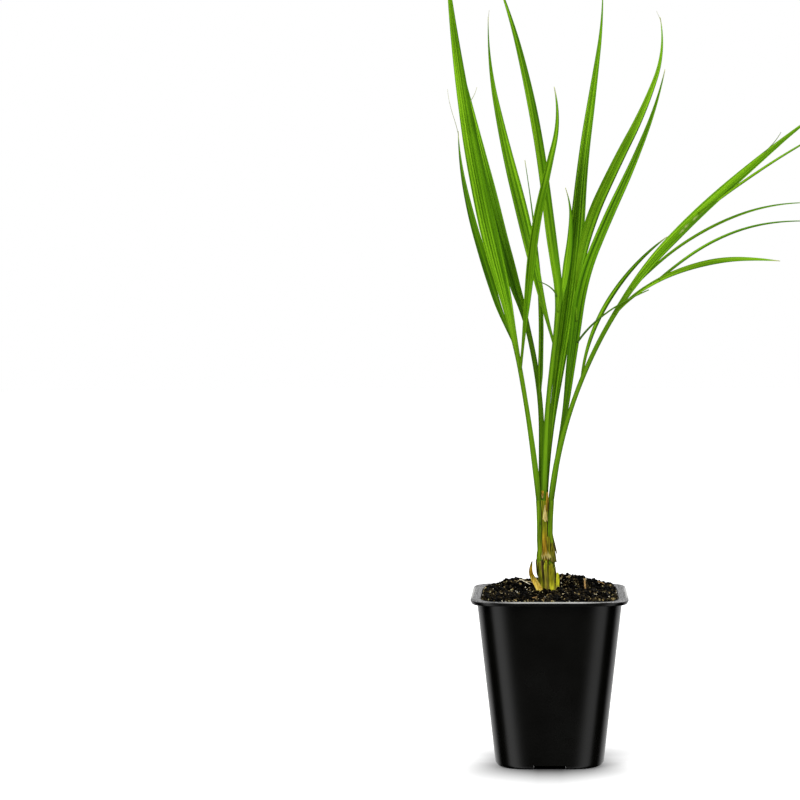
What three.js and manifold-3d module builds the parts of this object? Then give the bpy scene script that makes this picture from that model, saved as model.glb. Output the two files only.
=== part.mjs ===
// A young pygmy date palm in its square nursery pot.
// Millimetres, +Z up, the front of the pot facing -Y. The origin is the middle of the pot's flat underside.
import * as THREE from 'three';
import { mergeVertices } from 'three/addons/utils/BufferGeometryUtils.js';
import Module from 'manifold-3d';

const wasm = await Module();
wasm.setup();

// Pot
const rimWidth = 90;
const potHeight = 98.5;
const wall = 1.2;
const bodyWidthUnderRim = 82.4;
const bodyWidthAtFoot = 62.6;
const bodyCornerRadius = { foot: 17.5, rim: 14 };
const rimCornerRadius = 12;
const rimSkirtHeight = 2.7;
const rimFlare = 0.4;
const rimEdgeRound = 0.5;
const footRound = 2.4;
const footRoundKnee = 0.3;
const floorThickness = 1.5;
const drainChannel = { width: 18.4, depth: 2.5, innerEnd: 14 };
const drainHole = { diameter: 7, fromMiddle: 21, drillLength: 20, sides: 12 };
const stepsPerCorner = 6;

// Soil
const clearance = 0.3;
const soilEdgeHeight = 97.7;
const stemSeatHeight = 99.3;
const stemSeatRadius = 9;
const stemSeatBlend = 8;
const soilHeaps = [
  { x: 9, y: 22, rise: 9, spreadX: 26, spreadY: 12.5 },
  { x: -24, y: 22, rise: 3.4, spreadX: 15, spreadY: 12 },
  { x: 24, y: -12, rise: 1.4, spreadX: 14, spreadY: 14 },
];
const soilRings = 9;

// Stem, in heights above its flat cut on the soil
const stemFoot = { x: -1.5, y: 0, z: stemSeatHeight + clearance };
const stemSections = [
  { height: 0, middle: -1.5, halfWidth: 5.4 },
  { height: 6, middle: -1.7, halfWidth: 4.9 },
  { height: 14, middle: -2.0, halfWidth: 5.3 },
  { height: 24, middle: -2.1, halfWidth: 5.1 },
  { height: 33, middle: -2.6, halfWidth: 4.4 },
  { height: 42, middle: -2.9, halfWidth: 4.4 },
  { height: 52.7, middle: -2.9, halfWidth: 5.6 },
];
const stemDepthShare = 0.86;
const sheathLobes = { count: 5, depth: 0.06, turnPerMillimetre: 0.02 };
const stemSides = 20;
const stemRings = 14;
const frondFootHeight = stemFoot.z + stemSections.at(-1).height + clearance;

// Leaves: a section is a flat hexagon whose margins lift into a shallow fold
const flatShare = 0.45;
const sectionAcross = [1, flatShare, -flatShare, -1, -flatShare, flatShare];
const sectionThrough = [0, -1, -1, 0, 1, 1];
const petioleWidth = 2.7;
const petioleThickness = 2.7;
const ribShareOfLength = 0.0105;
const marginLift = 0.22;
const tipWidth = 0.7;
const tipThickness = 0.5;
const taperPower = 0.8;
const frondStations = 22;
const leafletStations = 11;
const leafletFootWidth = 1.8;
const petioleCutWidth = 12;

// Fronds: lean is to the right and back is away from the front, in degrees, at even steps from foot to tip
const fronds = [
  {
    name: 'frond_left',
    foot: [-6.4, -2],
    length: 319, width: 10.5, bladeFrom: 0.2, widestAt: 0.5, twist: 30,
    lean: [-6, -9, -12, -14, -11, -9, -7, -4],
    back: [-2, -4, -8, -12],
    leaflets: [
      {
        from: 0.285, length: 131, width: 6, widestAt: 0.4, twist: -40,
        lean: [-20, -20, -16, -11, -2],
        back: [2, 8],
      },
      {
        from: 0.24, length: 166, width: 6.5, widestAt: 0.45, twist: 35,
        lean: [4, 6, 11, 14, -8],
        back: [-10, -12, -8],
      },
    ],
  },
  {
    name: 'frond_rear_left',
    foot: [-4.7, 2.1],
    length: 280, width: 9, bladeFrom: 0.25, widestAt: 0.5, twist: -30,
    lean: [1, -1, -10, -17, -15, -14, -13, -12],
    back: [3, 6, 10, 18],
    leaflets: [
      {
        from: 0.21, length: 142, width: 5.2, widestAt: 0.35, twist: 50,
        lean: [0, 1, -4, -5, -7],
        back: [2, 9],
      },
    ],
  },
  {
    name: 'frond_middle',
    foot: [-2.95, -2.1],
    length: 306, width: 8.6, bladeFrom: 0.35, widestAt: 0.6, twist: 40,
    lean: [1, 2, 5.8, -4.2, -7, -10, -14, -22],
    back: [0, -2, -4, -10, -16],
    leaflets: [
      {
        from: 0.296, length: 198, width: 8.6, widestAt: 0.42, twist: 35,
        lean: [-12, -13, -14, -11, 1],
        back: [0, -8],
      },
      {
        from: 0.36, length: 76, width: 5.5, widestAt: 0.4, twist: 20,
        lean: [23, 9, 7, 0, -18],
        back: [-2, -8],
      },
    ],
  },
  {
    name: 'frond_newest',
    foot: [-1.6, 2.1],
    length: 306, width: 9.6, bladeFrom: 0.25, widestAt: 0.5, twist: 38,
    lean: [1, 6.8, 6.8, 7.8, 6.8, 7.8, 7, -3],
    back: [4, 4, 8, 12],
    leaflets: [],
  },
  {
    name: 'frond_upright_right',
    foot: [1.7, 2.1],
    length: 264, width: 8, bladeFrom: 0.25, widestAt: 0.5, twist: -42,
    lean: [5, 9, 7, 8, 22, 25, 21, 12],
    back: [-3, -3, -8, -16],
    leaflets: [
      {
        from: 0.4, length: 194, width: 7.6, widestAt: 0.35, twist: 40,
        lean: [-1, 11, 25, 27, 19, -13],
        back: [4, 10],
      },
    ],
  },
  {
    name: 'frond_outer_right',
    foot: [0.55, -2.1],
    length: 292, width: 7.5, bladeFrom: 0.3, widestAt: 0.62, twist: -30, petioleTo: 0.235,
    lean: [6, 16, 25, 33, 43, 47, 50, 57],
    back: [-1, -5, -8, -12],
    leaflets: [
      {
        from: 0.25, length: 100, width: 4.2, widestAt: 0.5, twist: 20,
        lean: [5, 17, 32, 42, 49],
        back: [10, 0, -8],
      },
      {
        from: 0.44, length: 94, width: 4.4, widestAt: 0.4, twist: 25,
        lean: [56, 66, 78, 91, 94],
        back: [-14, -22],
        leaflets: [
          {
            from: 0.22, length: 98, width: 3.8, widestAt: 0.4, twist: -20,
            lean: [54, 60, 67, 80, 93],
            back: [4, 2],
          },
        ],
      },
      {
        from: 0.5, length: 116, width: 3.8, widestAt: 0.4, twist: 25,
        lean: [50, 57, 67, 79, 91],
        back: [6, 12],
      },
      {
        from: 0.7, length: 86, width: 3.4, widestAt: 0.3, twist: 20,
        lean: [55, 57, 58, 60, 62],
        back: [-14, -20],
      },
    ],
  },
];

// Dried scales at the stem's foot
const scales = [
  {
    name: 'dried_scale', foot: [-5.6, -5.4], length: 20, width: 4.6, twist: -20,
    lean: [-16, -32, -30, 4, 14], back: [-6, -14, -4],
  },
  {
    name: 'yellow_scale', foot: [4.9, -1.2], length: 11, width: 4.2, twist: 78,
    lean: [4, 3, -2], back: [0, -6],
  },
];
const scaleThickness = 1.3;
const scaleStations = 7;

const potPlastic = new THREE.MeshStandardMaterial({ color: 0x111211, roughness: 0.42, metalness: 0 });
const soilMaterial = new THREE.MeshStandardMaterial({ color: 0x1b1510, roughness: 0.95, metalness: 0 });
const stemMaterial = new THREE.MeshStandardMaterial({ color: 0x9a8a2c, roughness: 0.7, metalness: 0 });
const leafMaterial = new THREE.MeshStandardMaterial({ color: 0x5a9610, roughness: 0.5, metalness: 0 });
const strawMaterial = new THREE.MeshStandardMaterial({ color: 0xc79a3a, roughness: 0.8, metalness: 0 });

const UP = new THREE.Vector3(0, 0, 1);
const FRONT = new THREE.Vector3(0, -1, 0);

// Value at a share of the way along a list of evenly spaced values
function along(values, share) {
  const place = THREE.MathUtils.clamp(share, 0, 1) * (values.length - 1);
  const below = Math.min(Math.floor(place), values.length - 2);
  return THREE.MathUtils.lerp(values[below], values[below + 1], place - below);
}

function middleOf(points) {
  return points.reduce((sum, point) => sum.add(point), new THREE.Vector3()).divideScalar(points.length);
}

// Closed geometry through rings of equal point counts, capped by a fan at both ends
function loft(rings) {
  const sides = rings[0].length;
  const vertices = rings.flat();
  const triangles = [];
  for (let ring = 0; ring + 1 < rings.length; ring += 1) {
    for (let side = 0; side < sides; side += 1) {
      const next = (side + 1) % sides;
      const a = ring * sides + side;
      const b = ring * sides + next;
      triangles.push(a, b, b + sides, a, b + sides, a + sides);
    }
  }
  const first = vertices.length;
  vertices.push(middleOf(rings[0]), middleOf(rings.at(-1)));
  const lastRing = (rings.length - 1) * sides;
  for (let side = 0; side < sides; side += 1) {
    const next = (side + 1) % sides;
    triangles.push(first, next, side);
    triangles.push(first + 1, lastRing + side, lastRing + next);
  }
  const geometry = new THREE.BufferGeometry().setFromPoints(vertices);
  geometry.setIndex(triangles);
  return geometry;
}

function toSolid(geometry) {
  return new wasm.Manifold(new wasm.Mesh({
    numProp: 3,
    vertProperties: new Float32Array(geometry.attributes.position.array),
    triVerts: new Uint32Array(geometry.index.array),
  }));
}

function toGeometry(solid) {
  const { vertProperties, triVerts } = solid.getMesh();
  const geometry = new THREE.BufferGeometry();
  geometry.setAttribute('position', new THREE.BufferAttribute(new Float32Array(vertProperties), 3));
  geometry.setIndex(Array.from(triVerts));
  return geometry;
}

function named(name, geometry, material) {
  geometry.computeVertexNormals();
  const mesh = new THREE.Mesh(geometry, material);
  mesh.name = name;
  return mesh;
}

// Square outline with round corners, counterclockwise seen from above
function roundedSquare(half, radius, z) {
  const ring = [];
  for (let corner = 0; corner < 4; corner += 1) {
    const turn = corner * Math.PI / 2;
    const middle = new THREE.Vector3(half - radius, half - radius, z).applyAxisAngle(UP, turn);
    for (let step = 0; step <= stepsPerCorner; step += 1) {
      const angle = turn + step / stepsPerCorner * Math.PI / 2;
      ring.push(new THREE.Vector3(Math.cos(angle), Math.sin(angle), 0).multiplyScalar(radius).add(middle));
    }
  }
  return ring;
}

// Ring of the pot's tapered body at a height, moved inward by an inset
function bodyRing(z, inset) {
  const share = z / potHeight;
  const half = THREE.MathUtils.lerp(bodyWidthAtFoot, bodyWidthUnderRim, share) / 2;
  const radius = THREE.MathUtils.lerp(bodyCornerRadius.foot, bodyCornerRadius.rim, share);
  return roundedSquare(half - inset, radius - inset, z);
}

function rimRing(z, inset) {
  return roundedSquare(rimWidth / 2 - inset, rimCornerRadius - inset, z);
}

// The drain channels that run in from the middle of each side, grown by a margin
function drainChannels(grow) {
  const length = bodyWidthUnderRim / 2 - drainChannel.innerEnd;
  const height = drainChannel.depth + grow;
  const channel = new THREE.BoxGeometry(length + 2 * grow, drainChannel.width + 2 * grow, 2 * height);
  channel.translate(drainChannel.innerEnd + length / 2, 0, 0);
  const box = plainSolid(channel);
  return [90, 180, 270].reduce((sum, angle) => sum.add(box.rotate([0, 0, angle])), box);
}

// Solid from one of three.js' own geometries, with its shared corners joined
function plainSolid(geometry) {
  geometry.deleteAttribute('normal');
  geometry.deleteAttribute('uv');
  return toSolid(mergeVertices(geometry));
}

// Everything inside the pot's tapered outside, shrunk by an inset
function bodyCore(inset) {
  return toSolid(loft([bodyRing(0, inset), bodyRing(potHeight, inset)]));
}

function makePot() {
  const underRim = potHeight - wall;
  const skirtBottom = potHeight - rimSkirtHeight;
  const shell = toSolid(loft([
    bodyRing(0, footRound),
    bodyRing(footRound * footRoundKnee, footRound * footRoundKnee),
    bodyRing(footRound, 0),
    bodyRing(underRim, 0),
    rimRing(underRim, wall),
    rimRing(skirtBottom, wall - rimFlare),
    rimRing(skirtBottom, -rimFlare),
    rimRing(potHeight - rimEdgeRound, 0),
    rimRing(potHeight, rimEdgeRound),
    bodyRing(potHeight, wall),
    bodyRing(floorThickness, wall),
  ]));
  const ridges = drainChannels(floorThickness).intersect(bodyCore(wall / 2));
  let pot = shell.add(ridges).subtract(drainChannels(0));
  const radius = drainHole.diameter / 2;
  const drill = plainSolid(
    new THREE.CylinderGeometry(radius, radius, drainHole.drillLength, drainHole.sides).rotateX(Math.PI / 2),
  );
  for (let side = 0; side < 4; side += 1) {
    pot = pot.subtract(drill.translate([drainHole.fromMiddle, 0, 0]).rotate([0, 0, side * 90]));
  }
  return named('pot', toGeometry(pot), potPlastic);
}

// Height of the soil's surface: level at the pot's wall and under the stem, heaped behind
function soilHeight(x, y) {
  let height = soilEdgeHeight;
  for (const heap of soilHeaps) {
    const distance = Math.hypot((x - heap.x) / heap.spreadX, (y - heap.y) / heap.spreadY);
    height += heap.rise * Math.exp(-(distance ** 2));
  }
  const fromStem = Math.hypot(x - stemFoot.x, y - stemFoot.y);
  const loose = THREE.MathUtils.smoothstep(fromStem, stemSeatRadius, stemSeatRadius + stemSeatBlend);
  return THREE.MathUtils.lerp(stemSeatHeight, height, loose);
}

function makeSoil() {
  const inset = wall + clearance;
  const bottom = floorThickness + clearance;
  const edge = bodyRing(soilEdgeHeight, inset);
  const rings = [bodyRing(bottom, inset)];
  for (let ring = 0; ring < soilRings; ring += 1) {
    const share = ring / soilRings;
    const middle = new THREE.Vector3(stemFoot.x, stemFoot.y, 0).multiplyScalar(share);
    rings.push(edge.map((point) => {
      const moved = point.clone().multiplyScalar(1 - share).add(middle);
      moved.z = ring === 0 ? soilEdgeHeight : soilHeight(moved.x, moved.y);
      return moved;
    }));
  }
  const soil = toSolid(loft(rings)).subtract(drainChannels(floorThickness + clearance));
  return named('soil', toGeometry(soil), soilMaterial);
}

function makeStem() {
  const middles = new THREE.SplineCurve(stemSections.map((s) => new THREE.Vector2(s.height, s.middle)));
  const widths = new THREE.SplineCurve(stemSections.map((s) => new THREE.Vector2(s.height, s.halfWidth)));
  const rings = [];
  for (let ring = 0; ring <= stemRings; ring += 1) {
    const share = ring / stemRings;
    const { x: height, y: middle } = middles.getPoint(share);
    const halfWidth = widths.getPoint(share).y;
    const points = [];
    for (let side = 0; side < stemSides; side += 1) {
      const angle = side / stemSides * 2 * Math.PI;
      const lobe = Math.cos(sheathLobes.count * (angle + height * sheathLobes.turnPerMillimetre));
      const radius = halfWidth * (1 - sheathLobes.depth * (1 - lobe) / 2);
      points.push(new THREE.Vector3(
        middle + radius * Math.cos(angle),
        stemFoot.y + radius * stemDepthShare * Math.sin(angle),
        stemFoot.z + height,
      ));
    }
    rings.push(points);
  }
  return named('stem', loft(rings), stemMaterial);
}

// Direction of growth at a share of the way along a leaf
function growth(leaf, share) {
  const lean = THREE.MathUtils.degToRad(along(leaf.lean, share));
  const back = THREE.MathUtils.degToRad(along(leaf.back, share));
  return new THREE.Vector3(Math.sin(lean) * Math.cos(back), Math.sin(back), Math.cos(lean) * Math.cos(back));
}

// The rib's points, grown from the foot one even stride at a time
function ribPath(foot, leaf, stations) {
  const points = [foot.clone()];
  for (let station = 0; station < stations; station += 1) {
    const stride = growth(leaf, (station + 0.5) / stations).multiplyScalar(leaf.length / stations);
    points.push(points[station].clone().add(stride));
  }
  return points;
}

// Section of a leaf at a point of its rib, turned about the rib by the leaf's twist
function leafRing(middle, direction, twist, halfWidth, halfThickness, lift) {
  const side = new THREE.Vector3().crossVectors(direction, FRONT).normalize();
  side.applyAxisAngle(direction, THREE.MathUtils.degToRad(twist));
  const face = new THREE.Vector3().crossVectors(side, direction).normalize();
  return sectionAcross.map((across, index) => {
    const through = sectionThrough[index] * halfThickness + Math.abs(across) * lift;
    return middle.clone().addScaledVector(side, across * halfWidth).addScaledVector(face, through);
  });
}

// Share of a blade's full width: rising from its foot to the widest place, then tapering to the tip
function bladeShare(share, from, widest) {
  if (share < widest) {
    return THREE.MathUtils.smoothstep(share, from, widest);
  }
  return ((1 - share) / (1 - widest)) ** taperPower;
}

// A leaf's rib points and its solid; a level foot is cut flat where it stands on the stem
function leafSolid(foot, leaf, { stations, footWidth, footThickness, bladeFrom, ribThickness, levelFoot }) {
  const path = ribPath(foot, leaf, stations);
  const rings = path.map((point, station) => {
    const share = station / stations;
    const blade = bladeShare(share, bladeFrom, leaf.widestAt);
    const past = share > leaf.widestAt;
    const width = THREE.MathUtils.lerp(past ? tipWidth : footWidth, leaf.width, blade);
    const thickness = THREE.MathUtils.lerp(past ? tipThickness : footThickness, ribThickness, blade);
    const direction = levelFoot && station === 0 ? UP : growth(leaf, share);
    const twist = leaf.twist * blade;
    return leafRing(point, direction, twist, width / 2, thickness / 2, marginLift * width / 2 * blade);
  });
  return { path, solid: toSolid(loft(rings)) };
}

// Point of a rib at a share of its length
function ribPoint(path, share) {
  const place = share * (path.length - 1);
  const below = Math.floor(place);
  return path[below].clone().lerp(path[below + 1], place - below);
}

// Adds a leaf's leaflets to its solid, each sunk into the rib that it grows from
function withLeaflets(leaf, path, solid) {
  let whole = solid;
  for (const leaflet of leaf.leaflets ?? []) {
    const grown = leafSolid(ribPoint(path, leaflet.from), leaflet, {
      stations: leafletStations,
      footWidth: leafletFootWidth,
      footThickness: leafletFootWidth,
      bladeFrom: 0,
      ribThickness: Math.max(ribShareOfLength * leaflet.length, tipThickness),
      levelFoot: false,
    });
    whole = whole.add(withLeaflets(leaflet, grown.path, grown.solid));
  }
  return whole;
}

// Slices a frond across its rib, and gives the petiole and then the blade
function cutPetiole(whole, frond, path) {
  const slice = new THREE.BoxGeometry(petioleCutWidth, petioleCutWidth, clearance);
  slice.applyQuaternion(new THREE.Quaternion().setFromUnitVectors(UP, growth(frond, frond.petioleTo)));
  slice.translate(...ribPoint(path, frond.petioleTo));
  const pieces = whole.subtract(plainSolid(slice)).decompose();
  return pieces.sort((a, b) => a.boundingBox().min[2] - b.boundingBox().min[2]);
}

// One mesh for a frond, or two for one that arches over: its petiole and its blade
function makeFrond(frond) {
  const foot = new THREE.Vector3(...frond.foot, frondFootHeight);
  const { path, solid } = leafSolid(foot, frond, {
    stations: frondStations,
    footWidth: petioleWidth,
    footThickness: petioleThickness,
    bladeFrom: frond.bladeFrom,
    ribThickness: ribShareOfLength * frond.length,
    levelFoot: true,
  });
  const whole = withLeaflets(frond, path, solid);
  if (frond.petioleTo === undefined) {
    return [named(frond.name, toGeometry(whole), leafMaterial)];
  }
  const [petiole, blade] = cutPetiole(whole, frond, path);
  return [
    named(`${frond.name}_petiole`, toGeometry(petiole), leafMaterial),
    named(frond.name, toGeometry(blade), leafMaterial),
  ];
}

function makeScale(scale) {
  const foot = new THREE.Vector3(...scale.foot, stemFoot.z);
  const path = ribPath(foot, scale, scaleStations);
  const rings = path.map((point, station) => {
    const share = station / scaleStations;
    const halfWidth = THREE.MathUtils.lerp(scale.width, tipWidth, share ** 2) / 2;
    const halfThickness = THREE.MathUtils.lerp(scaleThickness, tipThickness, share) / 2;
    const direction = station === 0 ? UP : growth(scale, share);
    return leafRing(point, direction, scale.twist, halfWidth, halfThickness, 0);
  });
  return named(scale.name, loft(rings), strawMaterial);
}

const palm = new THREE.Group();
palm.add(makePot(), makeSoil(), makeStem());
palm.add(...scales.map(makeScale));
palm.add(...fronds.flatMap(makeFrond));

export default palm;
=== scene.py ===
"""A young pygmy date palm in a square nursery pot, dressed round a fixed frame.

Lengths are metres and angles degrees. +Z is up and the pot's front faces -Y.
The origin is the middle of the pot's underside.
"""

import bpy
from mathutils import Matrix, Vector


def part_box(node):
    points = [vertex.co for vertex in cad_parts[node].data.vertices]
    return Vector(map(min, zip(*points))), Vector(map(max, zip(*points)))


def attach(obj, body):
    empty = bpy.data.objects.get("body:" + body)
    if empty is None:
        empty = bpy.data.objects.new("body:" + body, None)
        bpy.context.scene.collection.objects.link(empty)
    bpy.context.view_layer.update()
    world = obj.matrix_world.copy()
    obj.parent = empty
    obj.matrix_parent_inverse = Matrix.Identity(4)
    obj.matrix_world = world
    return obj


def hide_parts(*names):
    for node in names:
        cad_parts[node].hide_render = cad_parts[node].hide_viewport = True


bl_info = {
    "name": "Potted Pygmy Date Palm",
    "version": (1, 0, 0),
    "blender": (4, 5, 0),
    "location": "3D View > Sidebar > Palm",
    "description": "Builds a young pygmy date palm in a square nursery pot",
    "category": "Add Mesh",
}

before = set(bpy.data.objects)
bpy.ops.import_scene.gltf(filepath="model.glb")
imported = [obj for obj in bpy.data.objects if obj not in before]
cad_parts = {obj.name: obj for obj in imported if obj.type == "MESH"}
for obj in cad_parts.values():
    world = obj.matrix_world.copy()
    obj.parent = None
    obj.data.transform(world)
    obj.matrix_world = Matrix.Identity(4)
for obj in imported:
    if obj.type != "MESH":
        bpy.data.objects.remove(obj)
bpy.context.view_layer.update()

import itertools
import math
from dataclasses import dataclass

import bpy
import numpy as np

POT_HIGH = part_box("pot")[1]
STEM_LOW, STEM_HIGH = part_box("stem")
BODY = "root"
FRONT = np.array([0.0, -1.0, 0.0])
UP = np.array([0.0, 0.0, 1.0])

# Pot
RIM_FLARE = 0.0004
RIM_HALF = POT_HIGH.x - RIM_FLARE
WALL = 0.0012
BODY_WIDTH_UNDER_RIM = 0.0841
BODY_WIDTH_AT_FOOT = 0.0628
CORNER_RADIUS_AT_FOOT = 0.0247
CORNER_RADIUS_UNDER_RIM = 0.0248
RIM_CORNER_RADIUS = 0.0205
CORNER_POWER = 3.2
SKIRT_TUCK = 0.0002
SKIRT_HEIGHT = 0.0025
LIP_OUTER_DROP = 0.0002
LIP_INNER_DROP = 0.0006
LIP_CROWN = 0.25
LIP_OVERHANG = 0.0009
LIP_SLOPE_POWER = 1.15
LIP_ROUND = 0.0006
BEAD_HEIGHT = 0.004
BEAD_ROUND = 0.0003
SKIRT_FILLET = 0.0008
SKIRT_CHAMFER = 0.0003
FOOT_ROUND = 0.0024
UNDERSIDE_INSET = 0.024
FLOOR_THICKNESS = 0.0015
CHANNEL_WIDTH = 0.0184
CHANNEL_DEPTH = 0.0025
CHANNEL_INNER_END = 0.014
HOLE_DIAMETER = 0.007
HOLE_FROM_MIDDLE = 0.021
HOLE_CUT = (-0.002, 0.01)
HOLE_SIDES = 32
CUT_MARGIN = 0.004
CORNER_STEPS = 28
SIDE_STEPS = 12
SHARP_FROM_DEGREES = 40.0

# The lip's look, a grainy pale grey that is partly painted sheen, with a painted highlight on its outer edge:
# each pair says where a look begins and where it is full, below the top or in from the rim
RIM_OUTLINE_POWER = 7.4
LIP_DEPTHS = (0.0004, 0.0002)
BEAD_DEPTHS = (0.0012, 0.0010)
BEAD_INSETS = (0.0016, 0.0009)
LIP_HIGHLIGHT_DEPTHS = (0.0008, 0.0005)
LIP_HIGHLIGHT_INSETS = (0.0012, 0.0006)
LIP_HIGHLIGHT_HALF_LENGTH = 0.018
LIP_HIGHLIGHT_FADE = 0.012
LIP_HIGHLIGHT_COLOUR = (0.30, 0.30, 0.29)

# Soil
SOIL_EDGE = 0.0977
SEAT_HEIGHT = 0.0993
SEAT_RADIUS = 0.009
SEAT_BLEND = 0.008
STEM_MIDDLE = np.array([-0.0015, 0.0])
STEM_CLEARANCE = 0.0055
SOIL_GAP = 0.0003
SOIL_RINGS = 90
SOIL_RIM_BLEND = 0.05
SOIL_SPECKLES = 900.0
CRUMB_SIDES = 6
CRUMB_LEVELS = 3
CRUMB_SIZE_POWER = 2.2
CRUMB_ROOM = 1.1


@dataclass(frozen=True)
class Crumb:
    """A kind of crumb: how many, smallest and largest radius, how flat and how sunk it is, and its look."""

    name: str
    count: int
    smallest: float
    largest: float
    squash: float
    sink: float
    dark: tuple
    light: tuple
    gloss: float


CRUMBS = (
    Crumb("black", 2500, 0.0005, 0.0018, 0.85, 0.5, (0.0002, 0.0002, 0.0001), (0.0026, 0.0022, 0.0013), 0.4),
    Crumb("dark_brown", 1700, 0.0004, 0.0014, 0.8, 0.45,
          (0.0006, 0.0005, 0.0003), (0.046, 0.034, 0.014), 0.45),
    Crumb("bark", 760, 0.0004, 0.0011, 0.5, 0.35, (0.04, 0.026, 0.009), (0.40, 0.30, 0.13), 0.4),
    # The olive and pale crumbs are light grains of the mix, and their light colours are also painted glints
    # that stand in for the shine of wet soil
    Crumb("olive", 600, 0.0003, 0.0009, 0.6, 0.3, (0.09, 0.078, 0.026), (0.56, 0.50, 0.27), 0.4),
    Crumb("pale", 430, 0.0003, 0.0008, 0.6, 0.25, (0.42, 0.38, 0.28), (0.90, 0.86, 0.74), 0.4),
)


@dataclass(frozen=True)
class Strand:
    """A dry scrap on the soil: its two ends, thickness, colour, sideways bow and upward arch.

    Rise lifts its far end, seat is its height over the soil, and tip is its far end's share of its thickness.
    """

    start: tuple
    end: tuple
    radius: float
    colour: str
    bow: float
    lift: float
    rise: float = 0.0
    seat: float = 0.0006
    tip: float = 0.5
    seed: int = 1


LITTER = (
    Strand((-0.0205, 0.013), (-0.0125, 0.024), 0.00028, "straw", 0.08, 0.0006),
    Strand((-0.0185, 0.021), (-0.0105, 0.012), 0.00045, "cream", -0.06, 0.0008, tip=0.3),
    Strand((-0.0140, 0.018), (-0.0085, 0.010), 0.00028, "straw", 0.1, 0.0008, seed=2),
    Strand((0.0213, 0.0005), (0.0207, 0.0015), 0.00055, "stalk", 0.3, 0.0, 0.0066, tip=0.7, seed=3),
    Strand((0.0208, 0.0014), (0.0198, 0.0022), 0.0003, "straw", 0.2, 0.0, 0.0014, 0.0062, seed=4),
    Strand((0.0208, 0.0014), (0.0218, 0.0020), 0.0003, "cream", 0.2, 0.0, 0.0012, 0.0062, seed=5),
    Strand((0.0085, 0.014), (0.0145, 0.019), 0.00035, "straw", 0.12, 0.0004, seed=6),
    Strand((0.0060, -0.014), (0.0115, -0.0105), 0.0003, "straw", -0.2, 0.0005, seed=7),
    Strand((-0.0300, -0.008), (-0.0230, -0.014), 0.00028, "straw", 0.15, 0.0005, seed=8),
    Strand((0.0280, 0.022), (0.0330, 0.014), 0.0003, "stalk", 0.15, 0.0005, seed=9),
    Strand((-0.0280, 0.028), (-0.0210, 0.032), 0.0003, "straw", 0.2, 0.0005, seed=10),
    Strand((0.0100, 0.031), (0.0190, 0.034), 0.00035, "stalk", -0.1, 0.0006, seed=11),
    Strand((-0.0100, -0.026), (-0.0030, -0.030), 0.0003, "stalk", 0.2, 0.0005, seed=12),
    Strand((0.0240, -0.024), (0.0290, -0.019), 0.00025, "cream", 0.2, 0.0004, seed=13),
    Strand((-0.0330, 0.006), (-0.0300, 0.014), 0.00025, "cream", 0.2, 0.0004, seed=14),
)
STRAND_STATIONS = 26
STRAND_SIDES = 6
LITTER_COLOURS = {
    "straw": ((0.26, 0.19, 0.08), (0.60, 0.50, 0.28)),
    "cream": ((0.48, 0.42, 0.26), (0.85, 0.80, 0.62)),
    "stalk": ((0.16, 0.075, 0.02), (0.50, 0.30, 0.09)),
}


@dataclass(frozen=True)
class Heap:
    """A soft heap on the soil: its place, its rise and its spread."""

    x: float
    y: float
    rise: float
    spread_x: float
    spread_y: float


HEAPS = (
    Heap(0.008, 0.022, 0.0079, 0.0225, 0.0125),
    Heap(-0.0225, 0.022, 0.0034, 0.0085, 0.012),
    Heap(0.024, -0.012, 0.0014, 0.014, 0.014),
)

# Roughness of the soil: each row has the size of a noise's cells, its share of the relief and its seed
SOIL_LUMPS = ((0.0045, 1.0, 3), (0.002, 0.6, 4), (0.001, 0.35, 5))

# Studio
FLOOR_RADIUS = 6.0
FLOOR_DEPTH = 0.02
FLOOR_SIDES = 96
FLOOR_COLOUR = (0.6, 0.6, 0.6)
FLOOR_GLOW = 0.55
# The pot's soft shadow on the floor is a painted shadow, and the floor under its foot is painted black as
# painted shade
SHADOW_REACH_SIDE = 0.028
SHADOW_REACH_FRONT = 0.076
SHADOW_DEPTH_SIDE = 0.5
SHADOW_DEPTH_FRONT = 0.9
SHADOW_GONE_BEHIND = (-0.005, 0.050)
PAINTED_SHADE_UNDER_POT = (-0.0035, -0.002)
CAMERA_PLACE = (0.0, -1.307, 0.2648)
CAMERA_LOOKS_DOWN = 2.35
CAMERA_LENS_MM = 100.9
CAMERA_SENSOR_MM = 36.0
CAMERA_SHIFT = -0.187

# Surroundings: each pair says between which parts of a direction a light fades
SKY_GLOW = 0.9
SKY_ABOVE = (0.15, 0.75)
SKY_BEHIND = (0.25, 0.6)
SKY_OVER_FLOOR = (-0.6, -0.35)
PANEL_GLOW = 1.9
PANEL_RIGHT_SHARE = 0.75
PANEL_INNER_EDGE = (0.12, 0.36)
PANEL_OUTER_EDGE = (0.5, 0.64)
PANEL_TOP = (0.5, 0.8)
PANEL_BACK = (-0.2, 0.0)
LEFT_TO_RIGHT = (-0.5, 0.5)


@dataclass(frozen=True)
class Softbox:
    """A square soft light: its place, the height it faces on the pot's middle line, its width and power."""

    place: tuple
    aim_height: float
    width: float
    power: float


SOFTBOXES = {
    "key_softbox": Softbox((-0.95, -1.05, 1.45), 0.25, 0.8, 24.0),
    "fill_softbox": Softbox((1.2, -1.0, 1.1), 0.2, 0.9, 12.0),
    "rim_softbox": Softbox((0.5, 1.3, 1.3), 0.2, 0.8, 10.0),
}

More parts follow.
